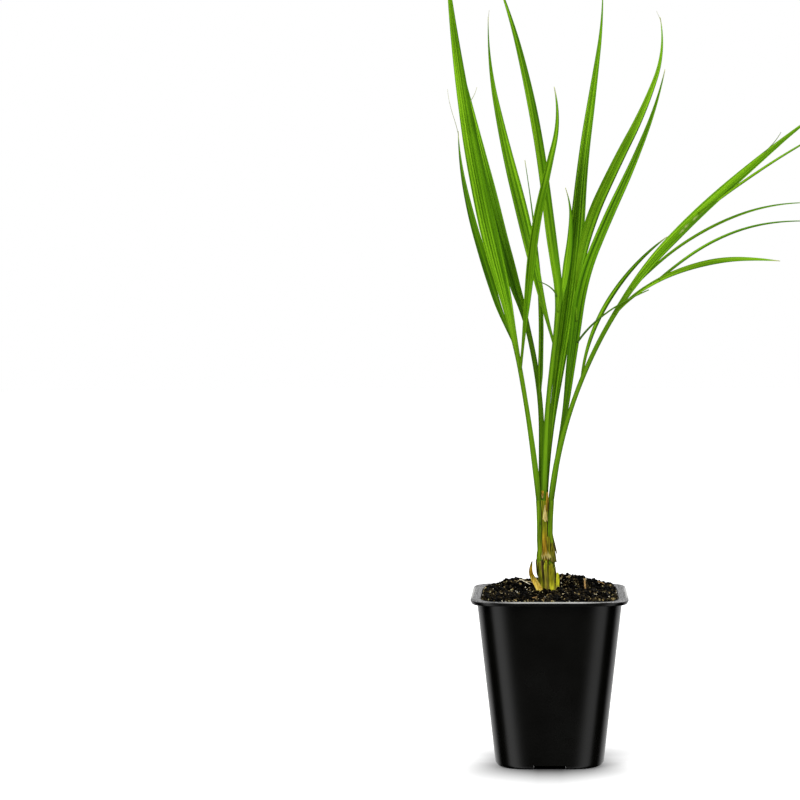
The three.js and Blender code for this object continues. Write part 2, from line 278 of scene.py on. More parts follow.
# Stem: each row has a height above its foot, the middle's place along X, and half the width
STEM_SECTIONS = np.array([
    [0.0, -0.0015, 0.0054],
    [0.006, -0.0017, 0.0049],
    [0.014, -0.0020, 0.0053],
    [0.024, -0.0022, 0.0051],
    [0.033, -0.0027, 0.0047],
    [0.042, -0.0027, 0.0048],
    [0.0527, -0.0026, 0.0053],
])
STEM_HEIGHT = STEM_HIGH.z - STEM_LOW.z
STEM_DEPTH_SHARE = 0.86
FROND_FOOT_HEIGHT = STEM_HIGH.z + SOIL_GAP
STEM_SIDES = 300
STEM_ROWS = 210
STEM_DOME = 0.0009
STEM_DOME_ROWS = 12
STEM_DOME_CLOSES = 0.94
STEM_FIBRE_TWIST = 6.0
CORE_SHARE = 0.86
THINNEST_RIDGE = 0.0016
LOW_RIDGE = 0.0021
SHEATH_THICKNESS = 0.00055
SHEATH_SLANT = 300.0
SHEATH_TEAR = 0.0016
SHEATH_LIP = 0.0014
SHEATHS_END = (0.012, 0.020)
RIDGES_SLIM = (0.010, 0.040)
AGED_UP_TO = (0.020, 0.040)
ORANGE_UP_TO = (0.036, 0.024)
BROWN_UP_TO = (0.014, 0.024)
YELLOW_FOOT = (0.001, 0.007)
# How far below its neighbours the stem's surface lies where its painted shade begins and where it is full
RECESS_SHADE_DEPTHS = (0.00004, 0.00028)
FLAP_THICKNESS = 0.0002
FLAP_CLEARANCE = 0.00018
FLAP_COLUMNS = 41
FLAP_ROWS = 60
SHEATH_COLOURS = {
    "olive": ((0.040, 0.038, 0.001), (0.29, 0.27, 0.010)),
    "yellow": ((0.26, 0.28, 0.006), (0.86, 0.84, 0.045)),
    "amber": ((0.60, 0.36, 0.03), (1.0, 0.80, 0.17)),
    "orange": ((0.13, 0.075, 0.003), (0.52, 0.32, 0.02)),
    "papery": ((0.30, 0.21, 0.05), (0.66, 0.56, 0.20)),
    "brown": ((0.010, 0.007, 0.002), (0.13, 0.085, 0.022)),
}
# The last tint is dark marks: real dark margins, tips and fibres on the scraps and scales, and painted shade
# in the stem's hollows and over its top
TINTS = (*SHEATH_COLOURS, "dark_marks_and_shade")


@dataclass(frozen=True)
class Sheath:
    """An old sheath round the stem's foot: its middle's angle, half its spread, its top and its two tints."""

    angle: float
    spread: float
    top: float
    tint: str
    second: str
    seed: int


SHEATHS = (
    Sheath(-146, 34, 0.0190, "olive", "brown", 41),
    Sheath(-101, 15, 0.0175, "olive", "yellow", 42),
    Sheath(-72, 24, 0.0160, "olive", "brown", 43),
    Sheath(-30, 30, 0.0140, "olive", "yellow", 44),
    Sheath(24, 36, 0.0170, "olive", "brown", 45),
    Sheath(82, 36, 0.0200, "yellow", "brown", 46),
    Sheath(140, 34, 0.0165, "olive", "orange", 47),
)


@dataclass(frozen=True)
class Flap:
    """A dead scrap of sheath on the stem.

    It has its middle's angle, its top and bottom heights, half its spread at either, how far it lifts and
    how deep it tears, the tints of its face and torn edge, and how far it slants.
    """

    angle: float
    top: float
    bottom: float
    top_width: float
    bottom_width: float
    lift: float
    tear: float
    colour: str
    edge: str
    slant: float
    seed: int


FLAPS = (
    Flap(-90, 0.0505, 0.0412, 6, 20, 0.0005, 0.0010, "papery", "papery", 2.0, 31),
    Flap(-72, 0.0580, 0.0470, 8, 11, 0.0004, 0.0012, "orange", "orange", -3.0, 32),
    Flap(-110, 0.0588, 0.0545, 10, 7, 0.0003, 0.0012, "orange", "papery", -2.0, 30),
    Flap(-96, 0.0300, 0.0195, 9, 24, 0.0005, 0.0016, "orange", "papery", -4.0, 33),
    Flap(-68, 0.0320, 0.0190, 10, 20, 0.0005, 0.0016, "olive", "papery", 2.0, 34),
    Flap(-44, 0.0285, 0.0172, 7, 20, 0.0007, 0.0010, "olive", "brown", 2.0, 35),
    Flap(-22, 0.0275, 0.0172, 7, 22, 0.0009, 0.0009, "brown", "olive", 2.0, 36),
    Flap(-12, 0.0160, 0.0100, 5, 14, 0.0006, 0.0008, "brown", "orange", 6.0, 40),
    Flap(60, 0.0400, 0.0220, 12, 44, 0.0009, 0.0026, "orange", "papery", 5.0, 37),
    Flap(130, 0.0330, 0.0160, 14, 44, 0.0010, 0.0030, "brown", "papery", -6.0, 38),
    Flap(185, 0.0230, 0.0100, 10, 30, 0.0008, 0.0022, "brown", "orange", 3.0, 39),
)

# Leaves
FOOT_SINK = 0.003
SUNK_FOOT_SHARE = 0.75
PETIOLE_ROUND_LENGTH = 0.02
PETIOLE_SLIMMING = 0.2
PETIOLE_SLIMS_BETWEEN = (0.015, 0.06)
KEEL_DEPTH = 0.00035
STREAK_UNIT = 0.001
STREAK_LENGTH = 0.02
PETIOLE_HALF_THICKNESS = 0.00125
LEAFLET_FOOT_HALF_WIDTH = 0.0008
BLADE_THICKNESS = 0.00032
TIP_HALF_WIDTH = 0.00022
MARGIN_WIDTH = 0.0006
DRY_TIP = (0.008, 0.001)
SCAR_LENGTH_SHARE = 0.0035
SCAR_BREADTH_SHARE = 0.15
STATION_LENGTH = 0.0016
FEWEST_STATIONS = 24
COLUMNS_PER_PLEAT = 12
PLAIN_COLUMNS = 17
SCALE_NUMBER = 80
HAIR_NUMBER = 90
HAIR_LEAF_STATIONS = 200
HAIR_STATIONS = 40
HAIR_SIDES = 6


@dataclass(frozen=True)
class Leaf:
    """A leaf or leaflet.

    Its rib leans to the right and back by the listed angles, evenly spaced from foot to tip. Its blade
    widens from blade_from to widest and then tapers: the higher its taper, the thinner its tip. Tone runs
    from deep green at 0 to bright green at 1, and shade is a painted shade that darkens the right half.
    Scars are small dry tears, given by their shares along and across.
    """

    length: float
    width: float
    widest: float
    twist: float
    lean: tuple
    back: tuple
    start: float = 0.0
    blade_from: float = 0.0
    taper: float = 1.1
    fold: float = 0.34
    pleats: int = 3
    pleat_depth: float = 0.0003
    tone: float = 0.5
    shade: float = 0.12
    scars: tuple = ()
    leaflets: tuple = ()


@dataclass(frozen=True)
class Frond:
    """A frond's foot on the stem, half its petiole's width there, and its leaf."""

    foot: tuple
    foot_half_width: float
    leaf: Leaf


FRONDS = {
    "frond_left": Frond((-0.0062, -0.002), 0.0017, Leaf(
        length=0.319, width=0.0112, blade_from=0.24, widest=0.52, twist=30,
        lean=(-6, -8.5, -11, -14.5, -11.5, -9, -7, -4), back=(-2, -4, -8, -12),
        fold=0.16, pleats=6, pleat_depth=0.00042, tone=0.62, shade=0.16,
        leaflets=(
            Leaf(start=0.285, length=0.131, width=0.0060, widest=0.4, twist=-40, taper=1.4,
                 lean=(-26, -17, -17, -12, -2), back=(2, 8), pleats=2, tone=0.42, shade=-0.1),
            Leaf(start=0.24, length=0.166, width=0.0066, blade_from=0.05, widest=0.45, twist=35,
                 lean=(6, 5, 6, 13, 14, -13), back=(-10, -12, -8), pleats=2, tone=0.5, shade=0.2),
        ),
    )),
    "frond_rear_left": Frond((-0.0047, 0.0021), 0.0019, Leaf(
        length=0.280, width=0.0092, blade_from=0.34, widest=0.56, twist=-30,
        lean=(1, -1, -10, -17, -15, -14, -13, -12), back=(3, 6, 10, 18),
        fold=0.2, pleats=4, pleat_depth=0.00036, tone=0.42, shade=-0.1,
        leaflets=(
            Leaf(start=0.21, length=0.142, width=0.0048, widest=0.2, twist=50, taper=2.4,
                 lean=(0, 1, -4, -7, -9), back=(2, 9), pleats=2, tone=0.46),
        ),
    )),
    "frond_middle": Frond((-0.0032, -0.0021), 0.0018, Leaf(
        length=0.306, width=0.0082, blade_from=0.3, widest=0.58, twist=40, taper=1.2,
        lean=(0.5, 1.5, 3.5, 6, 7, 5, -9, -8, -7, -8, -10, -12, -14, -18, -22), back=(0, -2, -4, -10, -16),
        pleats=3, tone=0.6, shade=0.16,
        leaflets=(
            Leaf(start=0.296, length=0.193, width=0.0088, widest=0.42, twist=35, taper=1.7,
                 lean=(-16, -13, -14, -11, 1), back=(0, -8), pleats=3, tone=0.6, shade=0.1),
            Leaf(start=0.36, length=0.073, width=0.0050, widest=0.4, twist=20, taper=1.7,
                 lean=(17, 8, 7, 0, -20), back=(-2, -8), pleats=1, tone=0.45),
        ),
    )),
    "frond_newest": Frond((-0.0021, 0.0021), 0.0011, Leaf(
        length=0.312, width=0.0108, blade_from=0.02, widest=0.45, twist=38, taper=1.6,
        lean=(2.5, 6, 8.5, 6.5, 5, 9, 8, -1), back=(4, 4, 8, 12),
        fold=0.4, pleats=6, pleat_depth=0.0005, tone=0.52, shade=0.02,
    )),
    "frond_upright_right": Frond((0.0010, 0.0021), 0.0016, Leaf(
        length=0.260, width=0.0082, blade_from=0.12, widest=0.46, twist=-42, taper=1.15,
        lean=(8, 9.5, 7, 8, 22, 25, 21, 12), back=(-3, -3, -8, -16),
        pleats=3, tone=0.42, shade=-0.16,
        leaflets=(
            Leaf(start=0.406, length=0.190, width=0.0082, widest=0.35, twist=40, taper=1.35,
                 lean=(-3, 10, 25, 28, 20, -10), back=(4, 10), pleats=3, tone=0.62, shade=0.2),
        ),
    )),
    "frond_outer_right": Frond((0.00085, -0.0021), 0.0017, Leaf(
        length=0.292, width=0.0070, blade_from=0.36, widest=0.66, twist=-30, taper=1.6,
        lean=(6, 15.5, 24, 33, 44, 48, 50, 57), back=(-1, -5, -8, -12),
        fold=0.3, pleats=4, pleat_depth=0.00036, tone=0.62, shade=0.16,
        scars=((0.608, 0.12), (0.622, 0.02), (0.645, 0.1), (0.66, 0.2)),
        leaflets=(
            Leaf(start=0.25, length=0.100, width=0.0028, widest=0.5, twist=20, taper=0.8,
                 lean=(5.5, 19, 32, 42.5, 54), back=(10, 0, -8), pleats=1, tone=0.5),
            Leaf(start=0.395, length=0.107, width=0.0036, widest=0.6, twist=25,
                 lean=(40, 55, 67.5, 78, 91, 97), back=(-14, -22), pleats=1, tone=0.7,
                 leaflets=(
                     Leaf(start=0.315, length=0.098, width=0.0017, widest=0.4, twist=-20,
                          lean=(49, 56, 68, 82, 93), back=(4, 2), pleats=1, tone=0.45),
                 )),
            Leaf(start=0.455, length=0.122, width=0.0019, widest=0.4, twist=25,
                 lean=(44, 48, 56, 63, 71, 81, 90), back=(6, 12), pleats=1, tone=0.55),
            Leaf(start=0.655, length=0.099, width=0.0017, widest=0.3, twist=20,
                 lean=(53, 54.5, 57, 60.5, 64), back=(-14, -20), pleats=1, tone=0.6),
        ),
    )),
}
FROND_NODES = {"frond_outer_right": ("frond_outer_right_petiole", "frond_outer_right")}


@dataclass(frozen=True)
class Hair:
    """A thin thread on a leaf: its frond, the leaflets that lead to its leaf, its place there and its rib.

    Dry runs from green at 0 to straw at 1.
    """

    frond: str
    route: tuple
    share: float
    across: float
    length: float
    width: float
    lean: tuple
    back: tuple = (0, 0)
    dry: float = 1.0


HAIRS = (
    Hair("frond_left", (0,), 0.985, 0.0, 0.027, 0.00035, (-12, -18, -14, -4)),
    Hair("frond_left", (), 0.735, 1.0, 0.009, 0.0004, (34, 26, 12)),
    Hair("frond_middle", (), 0.392, -1.0, 0.015, 0.0010, (-14, -46, -64, -70), (-8, -4), 0.1),
    Hair("frond_upright_right", (), 0.36, 0.8, 0.053, 0.0013, (34, 43, 52, 58, 64, 66), (-10, -14), 0.05),
    Hair("frond_outer_right", (), 0.83, -0.8, 0.015, 0.0006, (50, 40, 28), (-6, -10), 0.3),
    Hair("frond_outer_right", (), 0.93, 0.6, 0.008, 0.0003, (66, 74), (-4, -6), 0.9),
    Hair("frond_middle", (0,), 0.99, 0.0, 0.006, 0.0003, (4, 8)),
    Hair("frond_upright_right", (0,), 0.985, 0.0, 0.007, 0.0003, (-16, -30)),
)


@dataclass(frozen=True)
class Scale:
    """A dead leaf base: its foot, its leaf, how dark its tip is, and its tints from foot to tip."""

    foot: tuple
    leaf: Leaf
    dark_tip: float
    tints: tuple


SCALES = {
    "dried_scale": Scale((-0.0053, -0.0057), Leaf(
        length=0.020, width=0.0040, widest=0.0, twist=-20, taper=0.8,
        lean=(-16, -32, -30, 4, 14), back=(-6, -14, -4), fold=0.5, pleats=2, pleat_depth=0.00012,
    ), 0.2, ("amber", "amber", "amber", "orange", "orange", "brown")),
    "yellow_scale": Scale((0.0042, -0.0020), Leaf(
        length=0.011, width=0.0030, widest=0.0, twist=40, taper=0.45,
        lean=(4, 3, -2), back=(0, -6), fold=0.4, pleats=2, pleat_depth=0.0001,
    ), 0.0, ("papery", "yellow", "yellow", "yellow")),
}


# Arithmetic on whole arrays

def mix(first, second, share):
    """First where share is 0, second where it is 1, and a straight blend between."""
    return first + (second - first) * share


def smooth(value, low, high):
    """Smoothstep: 0 below low, 1 above high and 3x^2 - 2x^3 between, where x is the share of the way."""
    share = np.clip((value - low) / (high - low), 0.0, 1.0)
    return share * share * (3.0 - 2.0 * share)


def along(values, share):
    """Value at a share of the way along a list of evenly spaced values, on straight lines between them."""
    return np.interp(share, np.linspace(0.0, 1.0, len(values)), values)


def bell(value, width):
    """A soft bell: e to the power of minus the square of value over width."""
    return np.exp(-((value / width) ** 2))


def unit(vectors):
    """The vectors at length one."""
    return vectors / np.linalg.norm(vectors, axis=-1, keepdims=True)


def noise(points, cell, seed):
    """Value noise from -1 to 1: random numbers at a grid's corners, blended smoothly between them."""
    place = np.asarray(points, float) / cell
    base = np.floor(place).astype(np.int64)
    inside = place - base
    inside = inside * inside * (3.0 - 2.0 * inside)
    primes = np.array([73856093, 19349663, 83492791], np.uint64)[: place.shape[-1]]
    total = 0.0
    for corner in itertools.product((0, 1), repeat=place.shape[-1]):
        key = ((base + corner).astype(np.uint64) * primes).sum(-1, dtype=np.uint64)
        key = (key ^ np.uint64(seed * 7919 + 17)) * np.uint64(0x9E3779B97F4A7C15)
        key = (key ^ (key >> np.uint64(29))) * np.uint64(0xBF58476D1CE4E5B9)
        value = (key >> np.uint64(40)).astype(float) / float(1 << 23) - 1.0
        total = total + value * np.prod(np.where(corner, inside, 1.0 - inside), -1)
    return total


# Parts: dictionaries of points, quads, triangles and named values at the points

def listed(values, shape, extra):
    """Named values as flat lists: each over a grid's points, then over those that extra takes from it."""
    grids = {name: np.broadcast_to(value, shape) for name, value in values.items()}
    return {name: np.concatenate([grid.ravel(), extra(grid)]) for name, grid in grids.items()}


def closed_tube(rings, values=None):
    """A closed skin through rings of equal point counts, with a fan over each end.

    The rings run counterclockwise as seen from the last one.
    """
    rows, sides = rings.shape[:2]
    index = np.arange(rows * sides).reshape(rows, sides)
    after = np.roll(index, -1, axis=1)
    first, last = rows * sides, rows * sides + 1
    low_cap = np.stack([np.full(sides, first), after[0], index[0]], -1)
    high_cap = np.stack([np.full(sides, last), index[-1], after[-1]], -1)
    return {
        "points": np.concatenate([rings.reshape(-1, 3), rings[[0, -1]].mean(1)]),
        "quads": np.stack([index[:-1], after[:-1], after[1:], index[1:]], -1).reshape(-1, 4),
        "triangles": np.concatenate([low_cap, high_cap]),
        "values": listed(values or {}, (rows, sides), lambda grid: grid[[0, -1]].mean(1)),
    }


def joined(parts):
    """Several parts as one, with their faces renumbered and their values in line."""
    offsets = np.cumsum([0] + [len(part["points"]) for part in parts])

    def renumbered(kind):
        return np.concatenate([part[kind] + offset for part, offset in zip(parts, offsets)])

    names = parts[0]["values"]
    return {
        "points": np.concatenate([part["points"] for part in parts]),
        "quads": renumbered("quads"),
        "triangles": renumbered("triangles"),
        "values": {name: np.concatenate([part["values"][name] for part in parts]) for name in names},
    }


def thin_shell(sheet, thickness, values):
    """A closed shell round a sheet of points.

    Two skins lie half the thickness to either side along the sheet's normals, and meet at its border.
    """
    normal = unit(np.cross(np.gradient(sheet, axis=0), np.gradient(sheet, axis=1)))
    rows, columns = sheet.shape[:2]
    inner = np.zeros((rows, columns), bool)
    inner[1:-1, 1:-1] = True
    offset = np.where(inner, thickness / 2.0, 0.0)[..., None] * normal
    upper = np.arange(rows * columns).reshape(rows, columns)
    lower = upper.copy()
    lower[inner] = rows * columns + np.arange(inner.sum())

    def faces(index):
        return np.stack([index[:-1, :-1], index[1:, :-1], index[1:, 1:], index[:-1, 1:]], -1).reshape(-1, 4)

    return {
        "points": np.concatenate([(sheet + offset).reshape(-1, 3), (sheet - offset)[inner]]),
        "quads": np.concatenate([faces(upper), faces(lower)[:, ::-1]]),
        "triangles": np.zeros((0, 3), int),
        "values": listed(values, (rows, columns), lambda grid: grid[inner]),
    }


def round_tube(path, radius, sides, values=None):
    """A round tube along a path: at each point a circle across it, turned to face one fixed direction."""
    direction = unit(np.gradient(path, axis=0))
    helper = np.where(np.abs(direction[:, 1:2]) < 0.9, FRONT, UP)
    side = unit(np.cross(direction, helper))
    face = np.cross(direction, side)
    angle = np.linspace(0.0, 2.0 * np.pi, sides, endpoint=False)[None, :, None]
    reach = np.broadcast_to(radius, len(path))[:, None, None]
    rings = path[:, None] + reach * (np.cos(angle) * side[:, None] + np.sin(angle) * face[:, None])
    return closed_tube(rings, values)


def block(low, high):
    """A box between two corners, as a tube of two square rings."""
    x = np.array([low[0], high[0], high[0], low[0]])
    y = np.array([low[1], low[1], high[1], high[1]])
    ring = np.stack([x, y], -1)
    rings = np.stack([np.column_stack([ring, np.full(4, z)]) for z in (low[2], high[2])])
    return closed_tube(rings)


def new_object(name, data):
    """A new object in the scene for a mesh, light or camera."""
    item = bpy.data.objects.new(name, data)
    bpy.context.scene.collection.objects.link(item)
    return item


def new_mesh(name, part, rounded):
    """A mesh of a part's points and faces, shaded as rounded or as flat faces."""
    mesh = bpy.data.meshes.new(name)
    quads, triangles = part["quads"], part["triangles"]
    corners = np.concatenate([quads.ravel(), triangles.ravel()]).astype(np.int32)
    starts = np.concatenate([np.arange(len(quads)) * 4, quads.size + np.arange(len(triangles)) * 3])
    mesh.vertices.add(len(part["points"]))
    mesh.vertices.foreach_set("co", part["points"].astype(np.float32).ravel())
    mesh.loops.add(len(corners))
    mesh.loops.foreach_set("vertex_index", corners)
    mesh.polygons.add(len(starts))
    mesh.polygons.foreach_set("loop_start", starts.astype(np.int32))
    mesh.update(calc_edges=True)
    mesh.validate()
    mesh.polygons.foreach_set("use_smooth", np.full(len(mesh.polygons), rounded))
    return mesh


def make_piece(name, part, material):
    """A piece of the plant from a part, with its values as attributes, and breadth and down as a UV map."""
    mesh = new_mesh(name, part, True)
    values = dict(part["values"])
    if "breadth" in values:
        both = np.column_stack([values.pop("breadth"), values.pop("down")])
        layer = mesh.uv_layers.new(name="Leaf")
        vertex = np.zeros(len(mesh.loops), np.int32)
        mesh.loops.foreach_get("vertex_index", vertex)
        layer.data.foreach_set("uv", both[vertex].astype(np.float32).ravel())
    for key, value in values.items():
        attribute = mesh.attributes.new(key, "FLOAT", "POINT")
        attribute.data.foreach_set("value", value.astype(np.float32))
    mesh.materials.append(material)
    piece = new_object(name, mesh)
    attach(piece, BODY)
    return piece


# Materials

class Shader:
    """A material or world being built: nodes are added by type, and inputs take values or nodes' outputs."""

    def __init__(self, owner, surface="Principled BSDF"):
        owner.use_nodes = True
        self.owner = owner
        self.tree = owner.node_tree
        self.surface = self.tree.nodes[surface]

    def put(self, socket, value):
        """Set a socket's own value, or link another node's output to it."""
        if isinstance(value, bpy.types.NodeSocket):
            self.tree.links.new(value, socket)
        else:
            socket.default_value = value

    def add(self, kind, inputs=None, **settings):
        """A new node with its settings and inputs."""
        node = self.tree.nodes.new(kind)
        for name, value in settings.items():
            setattr(node, name, value)
        for name, value in (inputs or {}).items():
            self.put(node.inputs[name], value)
        return node

    def finish(self, **inputs):
        """Set the last node's inputs, and give back the material or world."""
        for name, value in inputs.items():
            self.put(self.surface.inputs[name.replace("_", " ")], value)
        return self.owner

    def place(self, scale=(1.0, 1.0, 1.0)):
        """Object coordinates, stretched by a scale."""
        source = self.add("ShaderNodeTexCoord").outputs["Object"]
        return self.add("ShaderNodeMapping", {"Vector": source, "Scale": scale}).outputs["Vector"]

    def value(self, name):
        """The piece's attribute of this name."""
        return self.add("ShaderNodeAttribute", attribute_name=name).outputs["Fac"]

    def leaf_place(self, scale):
        """The leaf's own coordinates, across and along, stretched by a scale and set apart by its number."""
        source = self.add("ShaderNodeUVMap", uv_map="Leaf").outputs["UV"]
        shift = self.add("ShaderNodeCombineXYZ", {"Z": self.value("number")}).outputs[0]
        spread = self.add("ShaderNodeMapping", {"Vector": source, "Scale": scale}).outputs["Vector"]
        return self.add("ShaderNodeVectorMath", {0: spread, 1: shift}, operation="ADD").outputs[0]

    def noise(self, place, scale, detail):
        """Layered noise from 0 to 1, of so many cells a unit."""
        inputs = {"Vector": place, "Scale": scale, "Detail": detail, "Roughness": 0.55}
        return self.add("ShaderNodeTexNoise", inputs).outputs["Fac"]

    def axes(self, place):
        """The three parts of a vector."""
        return tuple(self.add("ShaderNodeSeparateXYZ", {"Vector": place}).outputs)

    def math(self, operation, first, *others):
        """An operation on one value, or on several from the left."""
        for other in others or (0.0,):
            first = self.add("ShaderNodeMath", {0: first, 1: other}, operation=operation).outputs[0]
        return first

    def sizes(self, *values):
        """Values without their signs."""
        return [self.math("ABSOLUTE", value) for value in values]

    def power_length(self, first, second, power):
        """Length of a flat vector by a power, (a^n + b^n)^(1/n): equal all along a soft-cornered square."""
        powers = [self.math("POWER", part, power) for part in self.sizes(first, second)]
        return self.math("POWER", self.math("ADD", *powers), 1.0 / power)

    def span(self, value, low, high, to_low=0.0, to_high=1.0, shape="LINEAR"):
        """A value mapped from one span to another and held within it, on a straight line or a smoothstep."""
        inputs = {"Value": value, "From Min": low, "From Max": high, "To Min": to_low, "To Max": to_high}
        return self.add("ShaderNodeMapRange", inputs, clamp=True, interpolation_type=shape).outputs["Result"]

    def colours(self, share, first, second):
        """A blend of two colours, each a plain colour or another node's output."""
        node = self.add("ShaderNodeMix", {"Factor": share}, data_type="RGBA")
        for socket, colour in ((node.inputs[6], first), (node.inputs[7], second)):
            self.put(socket, (*colour, 1.0) if isinstance(colour, tuple) else colour)
        return node.outputs[2]

    def bump(self, height, distance, strength, normal=None):
        """The normal of a face raised by height times distance."""
        inputs = {"Height": height, "Distance": distance, "Strength": strength}
        if normal is not None:
            inputs["Normal"] = normal
        return self.add("ShaderNodeBump", inputs).outputs["Normal"]


def material_shader(name):
    """The shader of a new material."""
    return Shader(bpy.data.materials.new(name))


def shifted(colour, factor, extra):
    """A colour with each channel times a factor, plus an extra."""
    return tuple(channel * factor + extra for channel in colour)


def pot_plastic(colour):
    """Black moulded plastic: satin, with faint level flow lines and patches of slightly different tint and
    gloss, and a grainy lip painted pale grey, partly as painted sheen.

    The lip's outer edge has a painted highlight: it is painted pale along the middle of each side.
    """
    shader = material_shader("black_moulded_plastic")
    x, y, height = shader.axes(shader.place())
    outline = shader.power_length(x, y, RIM_OUTLINE_POWER)
    from_side_middle = shader.math("MINIMUM", *shader.sizes(x, y))

    def reaching(value, end, distances, *results):
        """A mask by how far a value is from its end."""
        return shader.span(value, end - distances[0], end - distances[1], *results)

    bead = reaching(outline, RIM_HALF, BEAD_INSETS, 1.0, 0.0)
    bead = shader.math("MULTIPLY", reaching(height, POT_HIGH.z, BEAD_DEPTHS), bead)
    lip = shader.math("MAXIMUM", reaching(height, POT_HIGH.z, LIP_DEPTHS), bead)
    # Painted highlight: a pale band along the lip's outer edge at the middle of each side
    lip_highlight = shader.math(
        "MULTIPLY",
        shader.span(from_side_middle, LIP_HIGHLIGHT_HALF_LENGTH, LIP_HIGHLIGHT_HALF_LENGTH + LIP_HIGHLIGHT_FADE, 1.0, 0.0),
        reaching(outline, RIM_HALF, LIP_HIGHLIGHT_INSETS),
        reaching(height, POT_HIGH.z, LIP_HIGHLIGHT_DEPTHS),
    )
    grain = shader.noise(shader.place(), 1100.0, 2.0)
    flow = shader.noise(shader.place((14.0, 14.0, 900.0)), 1.0, 2.0)
    patches = shader.noise(shader.place(), 38.0, 4.0)
    lip_roughness = shader.math("MULTIPLY", lip, shader.span(grain, 0.44, 0.58, 0.3, 0.03))
    roughness = shader.math("ADD", shader.span(patches, 0.3, 0.75, 0.24, 0.29), lip_roughness)
    tint = shader.colours(shader.span(patches, 0.45, 0.8), colour, shifted(colour, 1.15, 0.0002))
    # Painted sheen: the lip is painted a grainy pale grey; its grain is the plastic's own, its pale grey
    # stands in for the sheen of its top
    grey, pale = shifted(colour, 1.0, 0.001), shifted(colour, 1.0, 0.145)
    grain_and_sheen = shader.colours(shader.span(grain, 0.4, 0.62), grey, pale)
    tint = shader.colours(lip, tint, grain_and_sheen)
    tint = shader.colours(lip_highlight, tint, LIP_HIGHLIGHT_COLOUR)
    fine = shader.bump(grain, 0.00012, shader.math("ADD", 0.06, shader.math("MULTIPLY", lip, 0.7)))
    normal = shader.bump(flow, 0.00003, 0.4, fine)
    return shader.finish(Base_Color=tint, Roughness=roughness, Normal=normal, Specular_IOR_Level=0.28)


def soil_mix(name, dark, light, gloss):
    """Moist potting mix of one colour, mottled by fine noise, with a rough face that shines where wet."""
    shader = material_shader(name)
    speckle = shader.noise(shader.place(), SOIL_SPECKLES, 4.0)
    wet = shader.noise(shader.place(), SOIL_SPECKLES * 0.4, 2.0)
    tint = shader.colours(shader.span(speckle, 0.38, 0.68), dark, light)
    normal = shader.bump(speckle, 0.0004, 0.6)
    roughness = shader.span(wet, 0.35, 0.65, gloss, gloss + 0.4)
    return shader.finish(Base_Color=tint, Roughness=roughness, Normal=normal, Specular_IOR_Level=0.012)


def leaf_green(dark, middle, light, base, tip):
    """Palm leaf: deep to bright green by its tone, with streaks and fine veins, dark margins and dry tips."""
    shader = material_shader("palm_leaf")
    streak = shader.noise(shader.leaf_place((0.8, 0.25, 1.0)), 1.0, 1.0)
    vein = shader.noise(shader.leaf_place((1.5, 0.12, 1.0)), 1.0, 0.0)
    cloud = shader.noise(shader.place(), 30.0, 2.0)
    # The tone attribute holds the leaf's own tone together with its painted light and shade
    share = shader.math(
        "ADD", shader.span(streak, 0.3, 0.7, -0.26, 0.26), shader.value("tone"),
        shader.span(vein, 0.3, 0.7, -0.2, 0.2), shader.span(cloud, 0.35, 0.65, -0.08, 0.08),
    )
    margin = shader.value("margin")
    green = shader.colours(shader.span(share, 0.0, 0.5), dark, middle)
    green = shader.colours(shader.span(share, 0.5, 1.0), green, light)
    green = shader.colours(shader.math("MULTIPLY", shader.value("stalk"), 0.85), green, base)
    green = shader.colours(shader.math("MULTIPLY", margin, 0.3), green, dark)
    green = shader.colours(shader.value("dry"), green, tip)
    dull_margin = shader.math("MULTIPLY", margin, 0.4)
    roughness = shader.math("ADD", shader.span(vein, 0.3, 0.7, 0.45, 0.6), dull_margin)
    normal = shader.bump(vein, 0.0001, 0.15)
    return shader.finish(Base_Color=green, Roughness=roughness, Normal=normal, Specular_IOR_Level=0.05)


def sheath_skin():
    """Leaf bases: green, with the sheath tints by place, brown blotches, dark marks with painted shade, and
    fibres.
    """
    shader = material_shader("leaf_sheath")
    fibre = shader.noise(shader.place((1500.0, 1500.0, 60.0)), 1.0, 3.0)
    blotch = shader.noise(shader.place((420.0, 420.0, 120.0)), 1.0, 3.0)
    streak = shader.span(fibre, 0.36, 0.64)
    tint = shader.colours(streak, (0.036, 0.082, 0.0010), (0.135, 0.25, 0.005))
    for name, (dark, light) in SHEATH_COLOURS.items():
        tint = shader.colours(shader.value(name), tint, shader.colours(streak, dark, light))
    tint = shader.colours(shader.span(blotch, 0.58, 0.75, 0.0, 0.75), tint, (0.018, 0.014, 0.004))
    # Dark marks and painted shade, in one near-black colour
    dark_marks_and_shade = shader.math("MULTIPLY", shader.value("dark_marks_and_shade"), 0.92)
    tint = shader.colours(dark_marks_and_shade, tint, (0.008, 0.010, 0.002))
    roughness = shader.span(fibre, 0.3, 0.7, 0.5, 0.75)
    normal = shader.bump(fibre, 0.00015, 0.6)
    return shader.finish(Base_Color=tint, Roughness=roughness, Normal=normal, Specular_IOR_Level=0.05)


def straw(name, dark, light):
    """Dry plant fibre: a plain straw colour with darker streaks."""
    shader = material_shader(name)
    streak = shader.noise(shader.place((700.0, 700.0, 300.0)), 1.0, 3.0)
    tint = shader.colours(shader.span(streak, 0.35, 0.7), dark, light)
    return shader.finish(Base_Color=tint, Roughness=0.75, Normal=shader.bump(streak, 0.0001, 0.5))


# Pot

